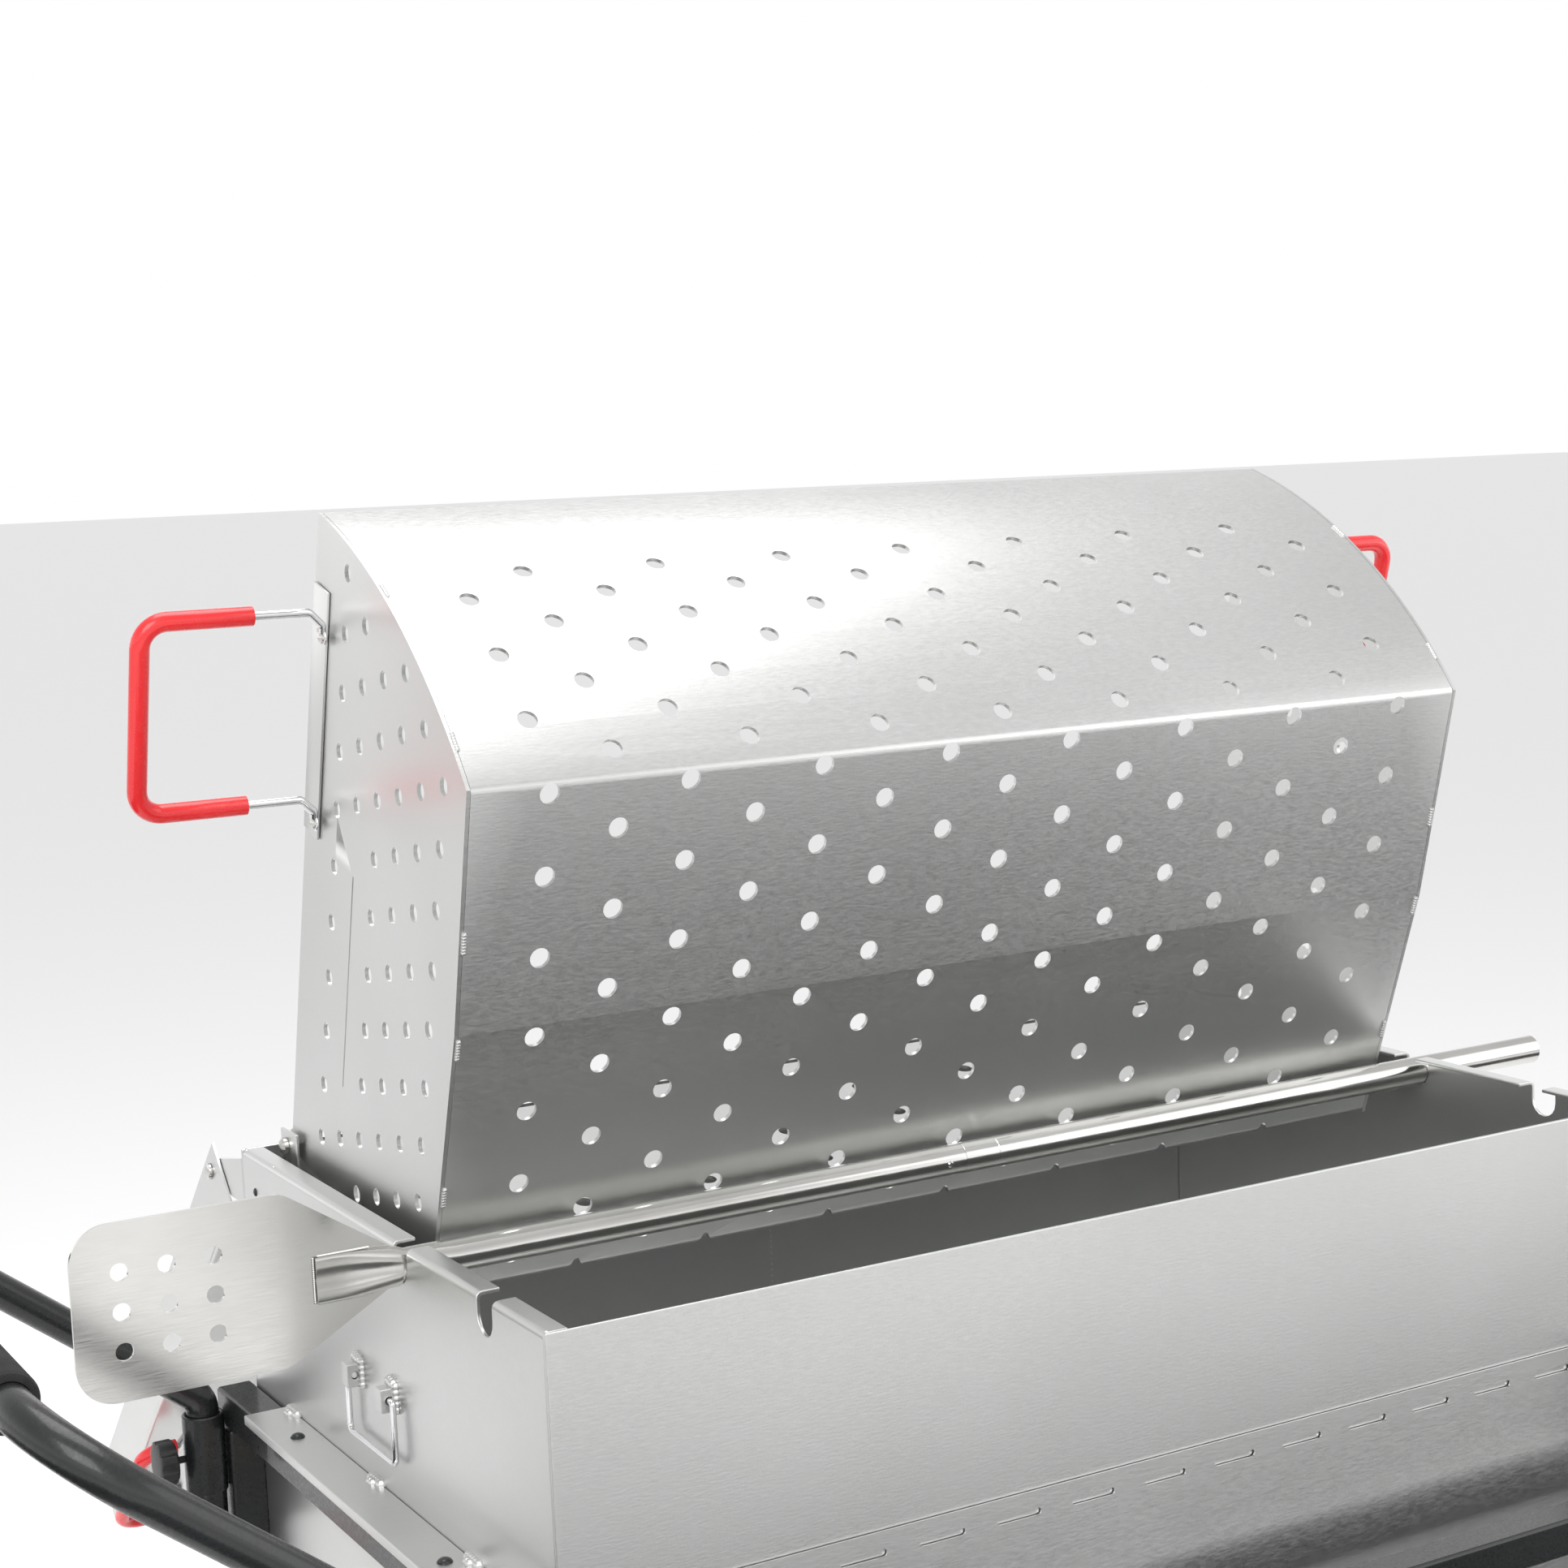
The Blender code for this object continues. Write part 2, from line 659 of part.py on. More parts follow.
def add_basket_handle(label, side, basket):
    """A wire bail bolted to the end plate, with its red sleeve."""
    outside = HALF_BASKET + GAP + STRIP_THICKNESS
    drop = SEATED_RIM_RISE + NOTCH_DEPTH - HANDLE_WIRE - GAP
    legs = [from_corner(-notch, drop) for notch in NOTCHES]
    near = outside + GAP + HANDLE_WIRE
    reach = side * (HALF_BASKET + HANDLE_REACH)
    path = []
    for leg, order in zip(legs, (1, -1)):
        foot = (side * near, leg.x + HANDLE_CRANK, leg.y)
        heel = (side * near, leg.x + HANDLE_CRANK / 2, leg.y)
        knee = (side * (near + HANDLE_CRANK / 2), leg.x, leg.y)
        path += [foot, heel, knee, (reach, leg.x, leg.y)][::order]
    bends = [HANDLE_WIRE, HANDLE_CRANK / 3, HANDLE_CORNER]
    bar("basket_handle_" + label, rounded(path, bends + bends[::-1]), HANDLE_WIRE, "chrome", basket)
    start = reach - side * GRIP_LEG
    ends = [(start, legs[0].x, legs[0].y), (reach, legs[0].x, legs[0].y),
            (reach, legs[1].x, legs[1].y), (start, legs[1].x, legs[1].y)]
    sleeve_on("basket_grip_" + label, rounded(ends, HANDLE_CORNER), GRIP_RADIUS, HANDLE_WIRE + GAP,
              "red_vinyl", basket)


# ---------------------------------------------------------------- tank
def notch_outline(y):
    """A round-bottomed notch that is open at the top."""
    half = NOTCH_WIDTH / 2
    floor = [(y - half * math.cos(math.pi * k / 8), half - NOTCH_DEPTH - half * math.sin(math.pi * k / 8))
             for k in range(9)]
    return [(y - half, half), *floor, (y + half, half)]


def add_tank():
    shell = [(TANK_FRONT, 0.0), (TANK_FRONT, -TANK_DEPTH), (TANK_REAR, -TANK_DEPTH), (TANK_REAR, 0.0)]
    bent_sheet("tank_wrap", shell, (-HALF_TANK, HALF_TANK), TANK_WALL, "aluminium", wall=1)
    inset = TANK_WALL + GAP
    run = (TANK_FRONT + inset, TANK_REAR - inset)
    drain = add_drain_cutter()
    for label, side in SIDES:
        corner = [(HALF_TANK - FLANGE_WIDTH, 0.0), (HALF_TANK, 0.0), (HALF_TANK, inset - TANK_DEPTH)]
        bends = rounded(corner, FLANGE_CORNER, 3)
        profile = [(side * point.x, point.y) for point in bends]
        end = bent_sheet("tank_end_" + label, profile, run, TANK_WALL, "aluminium", axis="Y", wall=side)
        slots = [as_cutter(flat_sheet("notch_cutter", notch_outline(y), 3 * FLANGE_WIDTH,
                                      across(side * HALF_TANK), "aluminium")) for y in NOTCHES]
        cut(end, *slots)
        if side < 0:
            cut(end, drain)
            add_bail_clips(end)
            add_bail()
        add_ledge(label, side)


def add_ledge(label, side):
    """The shelf that carries the tank on its side rail, with the rail itself."""
    inner, outer = HALF_TANK + GAP, HALF_TANK + LEDGE_WIDTH
    profile = [(side * inner, -LEDGE_DROP), (side * outer, -LEDGE_DROP),
               (side * outer, -LEDGE_DROP - LEDGE_LIP)]
    bent_sheet("ledge_" + label, profile, (LEDGE_FRONT, LEDGE_REAR), LEDGE_THICKNESS,
                       "aluminium", axis="Y", wall=side)
    block("side_rail_" + label, (side * (RAIL_X - FRAME_TUBE / 2), FRAME_FRONT, RAIL_TOP - FRAME_TUBE),
                 (side * (RAIL_X + FRAME_TUBE / 2), FRAME_REAR, RAIL_TOP), "black_frame", bevel=0.002)


def bail_axis():
    return Vector((-HALF_TANK - CLIP_DEPTH / 2, 0.0, -BAIL_DROP))


def add_bail():
    """A wire bail that hangs from its two clips."""
    hang = add_pivot("bail_hinge", bail_axis(), boiler)
    near, far = BAIL_REAR_Y - CLIP_WIDTH, BAIL_REAR_Y - BAIL_SPAN + CLIP_WIDTH
    ends = [(0.0, BAIL_REAR_Y + CLIP_WIDTH, 0.0), (0.0, near, 0.0), (0.0, near, -BAIL_LENGTH),
            (0.0, far, -BAIL_LENGTH), (0.0, far, 0.0), (0.0, BAIL_REAR_Y - BAIL_SPAN - CLIP_WIDTH, 0.0)]
    bends = [BAIL_WIRE, BAIL_CORNER, BAIL_CORNER, BAIL_WIRE]
    bar("bail", rounded(ends, bends, 3), BAIL_WIRE, "chrome", hang)


def add_bail_clips(end):
    """Two bored blocks welded to the tank's end."""
    axis = bail_axis()
    clips = []
    for y in (BAIL_REAR_Y, BAIL_REAR_Y - BAIL_SPAN):
        clips.append(block("clip", (axis.x - CLIP_DEPTH / 2, y - CLIP_WIDTH / 2, axis.z - CLIP_HEIGHT / 2),
                           (axis.x + CLIP_DEPTH / 2 + TANK_WALL / 2, y + CLIP_WIDTH / 2,
                            axis.z + CLIP_HEIGHT / 2),
                           "aluminium"))
    join(end, *clips)
    bores = bmesh.new()
    rod_into(bores, (axis.x, BAIL_REAR_Y + CLIP_WIDTH, axis.z),
             (axis.x, BAIL_REAR_Y - BAIL_SPAN - CLIP_WIDTH, axis.z), BAIL_WIRE + RUNNING)
    cut(end, as_cutter(add_shape("bail_bores", bores, "aluminium")))


# ---------------------------------------------------------------- brackets
def add_pivot_brackets():
    """Angles welded inside the tank's ends, which carry the basket on two bolts."""
    plate = HALF_BASKET + BRACKET_CLEARANCE
    shank = BRACKET_THICKNESS + BRACKET_CLEARANCE + BASKET_WALL + 2 * GAP
    bolt = [(0.0, -0.005), (0.007, -0.005), (0.007, 0.0), (PIVOT_BOLT, 0.0), (PIVOT_BOLT, shank),
            (0.0065, shank), (0.0065, shank + 0.005), (0.0, shank + 0.005)]
    reach = 1.8 * LUG_RADIUS
    for label, side in SIDES:
        profile = [(side * plate, PIVOT.z + LUG_RADIUS), (side * plate, -0.040),
                   (side * (HALF_TANK - TANK_WALL - GAP), -0.040)]
        bracket = bent_sheet("pivot_bracket_" + label, profile, (PIVOT.y - reach, PIVOT.y + LUG_RADIUS),
                             BRACKET_THICKNESS, "aluminium", axis="Y", wall=-side)
        bore = bmesh.new()
        rod_into(bore, (side * HALF_BASKET, *PIVOT.yz), (side * HALF_TANK, *PIVOT.yz), PIVOT_BOLT + 2 * GAP)
        cut(bracket, as_cutter(add_shape("bracket_bore", bore, "aluminium")))
        head = side * (plate + BRACKET_THICKNESS + GAP)
        turned("pivot_bolt_" + label, bolt, along((head, *PIVOT.yz), (-side, 0, 0)), "stainless", sides=10)


def add_lid_brackets():
    """Plates that stand out from the tank's rear wall and carry the lid's two screws."""
    hinge = lid_hinge()
    rear = TANK_REAR + GAP
    ear = [(hinge.y + LID_EAR * math.cos(angle), hinge.z + LID_EAR * math.sin(angle))
           for angle in (math.pi * (0.5 - k / 8) for k in range(9))]
    outline = [(rear, LID_BRACKET_TOP), *ear, (rear, LID_BRACKET_BOTTOM)]
    stack = TANK_WALL + LID_CLEARANCE + LID_WALL + 2 * GAP
    screw = [(0.0, -0.004), (0.007, -0.004), (0.007, 0.0), (LID_BOLT, 0.0), (LID_BOLT, stack),
             (0.0055, stack), (0.0055, stack + 0.004), (0.0, stack + 0.004)]
    for label, side in SIDES:
        flat_sheet("lid_bracket_" + label, outline, TANK_WALL, across(side * (HALF_TANK - TANK_WALL / 2)),
                   "aluminium", holes=[loop((hinge.y, hinge.z), LID_BOLT + 2 * GAP)])
        head = side * (HALF_TANK + LID_CLEARANCE + LID_WALL + GAP)
        turned("lid_screw_" + label, screw, along((head, hinge.y, hinge.z), (-side, 0, 0)), "stainless",
               sides=10)


# ---------------------------------------------------------------- lid
def lid_hinge():
    return Vector((0.0, TANK_REAR + LID_PIVOT_BACK, -LID_PIVOT_DROP))


def add_lid():
    """The lid, drawn closed in its hinge's frame and swung over to hang behind the tank."""
    swing = add_pivot("lid_hinge", lid_hinge(), boiler, turn=-math.radians(180.0 + LID_HANG_DEG))
    half = HALF_TANK + LID_CLEARANCE + LID_WALL
    top = LID_SKIRT - LID_PIVOT_INSET
    shape = bmesh.new()
    block_into(shape, (-half, -LID_LENGTH, -LID_PIVOT_INSET), (half, LID_PIVOT_END, top))
    shape.faces.ensure_lookup_table()
    open_side = [face for face in shape.faces if face.normal.z < -0.5 or face.normal.y > 0.5]
    bmesh.ops.delete(shape, geom=open_side, context="FACES_ONLY")
    folds = [edge for edge in shape.edges if not edge.is_boundary]
    bmesh.ops.bevel(shape, geom=folds, offset=LID_CORNER, segments=2, profile=0.5, affect="EDGES")
    mesh = bpy.data.meshes.new("lid_pan")
    shape.to_mesh(mesh)
    shape.free()
    pan = add_object("lid_pan", mesh, "aluminium", swing)
    shell = pan.modifiers.new("wall", "SOLIDIFY")
    shell.thickness = LID_WALL
    shell.offset = -1.0
    shell.use_even_offset = True
    bore = bmesh.new()
    rod_into(bore, (-2 * half, 0.0, 0.0), (2 * half, 0.0, 0.0), LID_BOLT + 2 * GAP)
    cut(pan, as_cutter(add_shape("lid_bore", bore, "aluminium", swing)))
    front_leg = LID_HANDLE_FRONT - LID_LENGTH
    for label, side in SIDES:
        level = top + GAP + HANDLE_WIRE
        reach = side * (half + LID_HANDLE_PROUD)
        knee = reach - side * (LID_HANDLE_REACH - 2 * LID_HANDLE_FOOT)
        path = []
        for y, order in ((front_leg, 1), (front_leg + HANDLE_SPAN, -1)):
            path += [(reach - side * LID_HANDLE_REACH, y, level),
                     (reach - side * (LID_HANDLE_REACH - LID_HANDLE_FOOT), y, level),
                     (knee, y, level + LID_HANDLE_LIFT), (reach, y, level + LID_HANDLE_LIFT)][::order]
        bends = [LID_CORNER, LID_CORNER, HANDLE_CORNER]
        bar("lid_handle_" + label, rounded(path, bends + bends[::-1]), HANDLE_WIRE, "chrome", swing)
        height = level + LID_HANDLE_LIFT
        start = reach - side * LID_GRIP_LEG
        ends = [(start, front_leg, height), (reach, front_leg, height),
                (reach, front_leg + HANDLE_SPAN, height), (start, front_leg + HANDLE_SPAN, height)]
        sleeve_on("lid_grip_" + label, rounded(ends, HANDLE_CORNER), GRIP_RADIUS, HANDLE_WIRE + GAP,
                  "red_vinyl", swing)


# ---------------------------------------------------------------- stir paddle
def add_paddle():
    """A two-part tube across the tank, in the rear notches, with a flat blade on its left end."""
    axis = Vector((0.0, NOTCHES[0], GAP + PADDLE_TUBE - NOTCH_DEPTH))
    slide = add_pivot("paddle_slide", axis, boiler)
    rim, bore = PADDLE_TUBE, PADDLE_TUBE - PADDLE_TUBE_WALL
    joint = TUBE_JOINT_X - COLLAR_LENGTH / 2
    left = joint + TUBE_LEFT_END - GAP
    tube = turned("paddle_tube_left", [(bore, 0.0), (rim, 0.0), (rim, left), (bore, left)],
                  along((-TUBE_LEFT_END, 0.0, 0.0), (1, 0, 0)), "stainless", slide, sides=16, ring=True)
    right = TUBE_RIGHT_END - joint
    turned("paddle_tube_right", [(0.0, -SPIGOT_LENGTH), (SPIGOT_RADIUS, -SPIGOT_LENGTH), (SPIGOT_RADIUS, 0.0),
                                 (rim, 0.0), (rim, right), (bore, right), (bore, COLLAR_LENGTH),
                                 (0.0, COLLAR_LENGTH)],
           along((joint, 0.0, 0.0), (1, 0, 0)), "stainless", slide, sides=16)
    half = [(TANG_ROOT - TUBE_LEFT_END, TANG_NECK), (-HALF_TANK - 2 * GAP, TANG_NECK),
            (-TANG_FLARE, TANG_HALF), (-TANG_TIP, TANG_HALF)]
    corners = half + [(x, -z) for x, z in half[::-1]]
    tang = rounded(corners, [0.002, 0.006, TANG_CORNER, TANG_CORNER, 0.006, 0.002], 2)
    join(tube, flat_sheet("tang", tang, TANG_THICKNESS, facing(0.0), "stainless", slide))
    rise = axis.z
    edge = HALF_TANK + 5 * GAP
    shape = [(-edge, TANG_NECK), (-BLADE_SHOULDER, BLADE_TOP - rise), (-BLADE_TIP, BLADE_TOP - rise),
             (-BLADE_TIP, BLADE_BOTTOM - rise), (-BLADE_SHOULDER, BLADE_BOTTOM - rise), (-edge, -TANG_NECK)]
    outline = rounded(shape, BLADE_CORNER, 4)
    middle = (BLADE_TOP + BLADE_BOTTOM) / 2 - rise
    holes = [loop((-BLADE_TIP + BLADE_HOLE_INSET + across_step * BLADE_HOLE_STEP,
                   middle + up_step * BLADE_HOLE_RISE), BLADE_HOLE)
             for across_step in range(3) for up_step in (-1, 0, 1)]
    depth = (TANG_THICKNESS + BLADE_THICKNESS) / 2 + GAP
    flat_sheet("paddle_blade", outline, BLADE_THICKNESS, facing(depth), "stainless", slide, holes)


# ---------------------------------------------------------------- frame and trolley
def add_frame():
    half = FRAME_TUBE / 2
    post_top = RAIL_TOP - FRAME_TUBE - GAP
    axle_height = WHEEL_RADIUS - RIM_HEIGHT
    bores = bmesh.new()
    rod_into(bores, (RAIL_X, FRAME_FRONT - FRAME_TUBE, axle_height),
             (RAIL_X, FRAME_REAR + FRAME_TUBE, axle_height), AXLE_RADIUS + GAP, 16)
    bore = as_cutter(add_shape("axle_bore", bores, "black_frame"))
    for end, out, y in ENDS:
        for label, side in SIDES:
            low = FOOT_HEIGHT + GAP - RIM_HEIGHT if side < 0 else axle_height - AXLE_POST_END
            post = block(f"post_{end}_{label}", (side * RAIL_X - half, y - half, low),
                         (side * RAIL_X + half, y + half, post_top), "black_frame", bevel=0.002)
            if side > 0:
                cut(post, bore)
        spread = half + FOOT_SPREAD
        block(f"rubber_foot_{end}", (-RAIL_X - spread, y - spread, -RIM_HEIGHT),
              (-RAIL_X + spread, y + spread, FOOT_HEIGHT - RIM_HEIGHT), "rubber", bevel=0.003)
        width = RAIL_X - half - GAP
        level = -MID_RAIL_DROP if out < 0 else -TANK_DEPTH - RAIL_ROOM
        block(f"mid_rail_{end}", (-width, y - half, level - FRAME_TUBE), (width, y + half, level),
              "black_frame", bevel=0.002)
        add_wheel(end, out, y, axle_height)
    reach = WHEEL_GAP + WHEEL_WIDTH + AXLE_END
    rods("axle", [((RAIL_X, FRAME_FRONT - reach, axle_height), (RAIL_X, FRAME_REAR + reach, axle_height))],
         AXLE_RADIUS, "stainless", sides=16)


def add_wheel(end, out, y, height):
    """A spoked-looking disc wheel with a solid tyre; it turns on the axle."""
    middle = y + out * (FRAME_TUBE / 2 + WHEEL_GAP + WHEEL_WIDTH / 2)
    turn = add_pivot(f"wheel_{end}_axle", (RAIL_X, middle, height), boiler)
    place = along((0.0, 0.0, 0.0), (0, 1, 0))
    wide, felloe = WHEEL_WIDTH / 2, WHEEL_RADIUS - TYRE_DEPTH
    tread = WHEEL_RADIUS - 0.006
    turned(f"tyre_{end}", [(felloe, -wide), (tread, -wide), (WHEEL_RADIUS, 0.006 - wide),
                           (WHEEL_RADIUS, wide - 0.006), (tread, wide), (felloe, wide)],
           place, "rubber", turn, sides=20, ring=True)
    eye, edge = AXLE_RADIUS + RUNNING, felloe - GAP
    thin = edge - 0.008
    turned(f"wheel_hub_{end}", [(eye, -wide), (HUB_RADIUS, -wide), (HUB_RADIUS, -WEB_HALF), (thin, -WEB_HALF),
                                (thin, -wide), (edge, -wide), (edge, wide), (thin, wide), (thin, WEB_HALF),
                                (HUB_RADIUS, WEB_HALF), (HUB_RADIUS, wide), (eye, wide)],
           place, "black_plastic", turn, sides=20, ring=True)


def add_panels():
    """Wind skirts under the tank's rim on the front and below the side rails."""
    count = int((TANK_LENGTH - SLOT_PITCH / 2) / SLOT_PITCH)
    top = PANEL_TOP - SLOT_DROP
    slots = [rectangle((x - SLOT_LENGTH / 2, top - SLOT_HEIGHT), (x + SLOT_LENGTH / 2, top))
             for x in ((k - (count - 1) / 2) * SLOT_PITCH for k in range(count))]
    flat_sheet("panel_front", rectangle((-HALF_TANK, PANEL_BOTTOM), (HALF_TANK, PANEL_TOP)), PANEL_SHEET,
               facing(TANK_FRONT - PANEL_SPACE - PANEL_SHEET / 2), "aluminium", holes=slots)
    height = RAIL_TOP - FRAME_TUBE - GAP
    run = (TANK_FRONT, FRAME_REAR - FRAME_TUBE - GAP)
    drain = loop((DRAIN_Y, -DRAIN_DROP), DRAIN_RADIUS + GAP, 16)
    for label, side in SIDES:
        flat_sheet("panel_" + label, rectangle((run[0], PANEL_BOTTOM), (run[1], height)), PANEL_SHEET,
                   across(side * (HALF_TANK + 2 * GAP + PANEL_SHEET / 2)), "aluminium",
                   holes=[drain] if side < 0 else [])


def add_push_handle():
    """A U-shaped tube in two sleeves on the left, clamped by a knob on each."""
    x = -(RAIL_X + FRAME_TUBE / 2 + GAP + SLEEVE_RADIUS)
    lift = add_pivot("push_handle_lift", (x, 0.0, SLEEVE_TOP), boiler)
    eye = ARM_RADIUS + RUNNING
    foot = SLEEVE_LENGTH + SLEEVE_FOOT
    sleeve = [(eye, 0.0), (SLEEVE_RADIUS, 0.0), (SLEEVE_RADIUS, -SLEEVE_LENGTH),
              (SLEEVE_FOOT_RADIUS, -SLEEVE_LENGTH - 0.004), (SLEEVE_FOOT_RADIUS, -foot), (eye, -foot)]
    for end, out, y in ENDS:
        turned("handle_sleeve_" + end, sleeve, Matrix.Translation((x, y, SLEEVE_TOP)), "black_frame",
               sides=16, ring=True)
    slope = math.radians(ARM_SLOPE_DEG)
    far = (-ARM_REACH, ARM_RISE + ARM_REACH * math.tan(slope))
    path = []
    for (end, out, y), order in zip(ENDS, (1, -1)):
        path += [(0.0, y, -ARM_TAIL), (0.0, y, ARM_RISE), (far[0], y, far[1])][::order]
    bends = [ARM_BEND, CROSSBAR_BEND]
    bar("push_handle", rounded(path, bends + bends[::-1], 5), ARM_RADIUS, "black_frame", lift, resolution=4)
    middle = (REAR_POST_Y + FRONT_POST_Y) / 2
    ends = [Vector((far[0], middle + reach, far[1])) for reach in (FOAM_LENGTH / 2, -FOAM_LENGTH / 2)]
    sleeve_on("push_grip", ends, FOAM_RADIUS, ARM_RADIUS + RUNNING, "black_foam", lift, resolution=4)
    for end, out, y in ENDS:
        spot = (x - SLEEVE_RADIUS - GAP, y, SLEEVE_TOP - KNOB_DROP)
        turn = add_pivot(f"clamp_knob_{end}_screw", spot, boiler)
        turned(f"clamp_knob_{end}", [(0.0, 0.0), (KNOB_STUD, 0.0), (KNOB_STUD, KNOB_NECK),
                                     (KNOB_RADIUS * 0.8, KNOB_NECK), (KNOB_RADIUS, KNOB_NECK + 0.004),
                                     (KNOB_RADIUS, KNOB_NECK + KNOB_LENGTH - 0.004),
                                     (KNOB_RADIUS * 0.8, KNOB_NECK + KNOB_LENGTH),
                                     (0.0, KNOB_NECK + KNOB_LENGTH)],
               along((0.0, 0.0, 0.0), (-1, 0, 0)), "black_plastic", turn, sides=14)


# ---------------------------------------------------------------- gas and drain
def add_gas():
    """A bar burner on a tray between the posts, fed through a tap at the front."""
    half = RAIL_X - FRAME_TUBE / 2 - GAP
    front, rear = FRAME_FRONT + FRAME_TUBE + GAP, FRAME_REAR - FRAME_TUBE - GAP
    lip = -TRAY_DROP - TRAY_LIP
    bent_sheet("burner_tray", [(front, lip), (front, -TRAY_DROP), (rear, -TRAY_DROP), (rear, lip)],
               (-half, half), TRAY_SHEET, "black_frame", wall=-1)
    base = GAP - TRAY_DROP
    reach = BURNER_LENGTH / 2
    level = base + BURNER_LEG + BURNER_RADIUS
    burner = rods("burner", [((-reach, BURNER_Y, level), (reach, BURNER_Y, level))], BURNER_RADIUS,
                  "cast_iron")
    legs = [block("leg", (x - BURNER_NECK, BURNER_Y - BURNER_NECK, base),
                  (x + BURNER_NECK, BURNER_Y + BURNER_NECK, level), "cast_iron")
            for x in (-reach + 2 * BURNER_NECK, reach - 2 * BURNER_NECK)]
    join(burner, *legs)
    tap = TAP_X
    pipe = rods("gas_pipe", [((tap, MANIFOLD_Y, level), (tap, BURNER_Y - BURNER_RADIUS - GAP, level))],
                PIPE_RADIUS, "brass")
    body = block("tap_body", (tap - GAS_VALVE / 2, MANIFOLD_Y - GAS_VALVE, level - GAS_VALVE / 2),
                 (tap + GAS_VALVE / 2, MANIFOLD_Y + GAP, level + GAS_VALVE / 2), "brass")
    inlet = rods("inlet", [((tap, MANIFOLD_Y - GAS_VALVE / 2, level),
                            (tap - INLET_LENGTH, MANIFOLD_Y - GAS_VALVE / 2, level))], PIPE_RADIUS, "brass")
    leg = block("tap_leg", (tap - PIPE_RADIUS / 2, MANIFOLD_Y - PIPE_RADIUS, base),
                (tap + PIPE_RADIUS / 2, MANIFOLD_Y - GAP, level), "brass")
    join(pipe, body, inlet, leg)
    turn = add_pivot("gas_knob_stem", (tap, MANIFOLD_Y - GAS_VALVE - GAP, level), boiler)
    turned("gas_knob", [(0.0, 0.0), (0.004, 0.0), (0.004, 0.005), (GAS_KNOB_RADIUS, 0.005),
                        (GAS_KNOB_RADIUS - 0.002, GAS_KNOB_LENGTH), (0.0, GAS_KNOB_LENGTH)],
           along((0.0, 0.0, 0.0), (0, -1, 0)), "black_plastic", turn, sides=14)


def add_drain_cutter():
    shape = bmesh.new()
    rod_into(shape, (-HALF_TANK + 2 * FLANGE_WIDTH, DRAIN_Y, -DRAIN_DROP),
             (-HALF_TANK - FLANGE_WIDTH, DRAIN_Y, -DRAIN_DROP), DRAIN_RADIUS + GAP, 16)
    return as_cutter(add_shape("drain_cutter", shape, "aluminium"))


def add_drain():
    """A ball valve on the tank's left end, with a lever that turns on its stem."""
    wide, pipe, ball = VALVE_OUT + VALVE_HALF, DRAIN_RADIUS, VALVE_RADIUS
    narrow = VALVE_OUT - VALVE_HALF
    mouth = wide + DRAIN_MOUTH
    turned("drain_valve", [(0.0, -TANK_WALL), (pipe, -TANK_WALL), (pipe, narrow), (ball, narrow + 0.004),
                           (ball, wide - 0.004), (pipe, wide), (pipe, mouth), (pipe - DRAIN_WALL, mouth),
                           (pipe - DRAIN_WALL, wide), (0.0, wide)],
           along((-HALF_TANK, DRAIN_Y, -DRAIN_DROP), (-1, 0, 0)), "brass", sides=16)
    spot = (-HALF_TANK - VALVE_OUT, DRAIN_Y, ball + GAP - DRAIN_DROP)
    turn = add_pivot("drain_stem", spot, boiler)
    low = STEM_HEIGHT
    half = LEVER_WIDTH / 2
    lever = block("drain_lever", (-half, -half, low), (half, LEVER_LENGTH - half, low + LEVER_THICKNESS),
                  "stainless", turn)
    join(lever, rods("stem", [((0.0, 0.0, 0.0), (0.0, 0.0, low + LEVER_THICKNESS / 2))], STEM_RADIUS,
                     "stainless", turn))
    wall = LEVER_GRIP_WALL
    end = LEVER_LENGTH - half
    grip = block("drain_grip", (-half - wall, end - LEVER_GRIP, low - wall),
                 (half + wall, end + wall, low + LEVER_THICKNESS + wall), "red_vinyl", turn)
    pocket = block("grip_pocket", (-half - GAP, end - 2 * LEVER_GRIP, low - GAP),
                   (half + GAP, end + GAP, low + LEVER_THICKNESS + GAP), "red_vinyl", turn)
    cut(grip, as_cutter(pocket))


# ---------------------------------------------------------------- assembly
def stand_on_origin():
    """Moves the boiler so that the middle of its lowest level is the origin."""
    bpy.context.view_layer.update()
    graph = bpy.context.evaluated_depsgraph_get()
    points = []
    for thing in parts.objects:
        if thing.type == "MESH":
            ready = thing.evaluated_get(graph)
            points += [ready.matrix_world @ Vector(corner) for corner in ready.bound_box]
    low = [min(point[axis] for point in points) for axis in range(3)]
    high = [max(point[axis] for point in points) for axis in range(3)]
    boiler.location = (-(low[0] + high[0]) / 2, -(low[1] + high[1]) / 2, -low[2])
    bpy.context.view_layer.update()


add_tank()
add_pivot_brackets()
add_lid_brackets()
add_basket()
add_paddle()
add_lid()
add_frame()
add_panels()
add_push_handle()
add_gas()
add_drain()
stand_on_origin()
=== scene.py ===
import json
import math

import bmesh
import bpy
from mathutils import Matrix, Vector

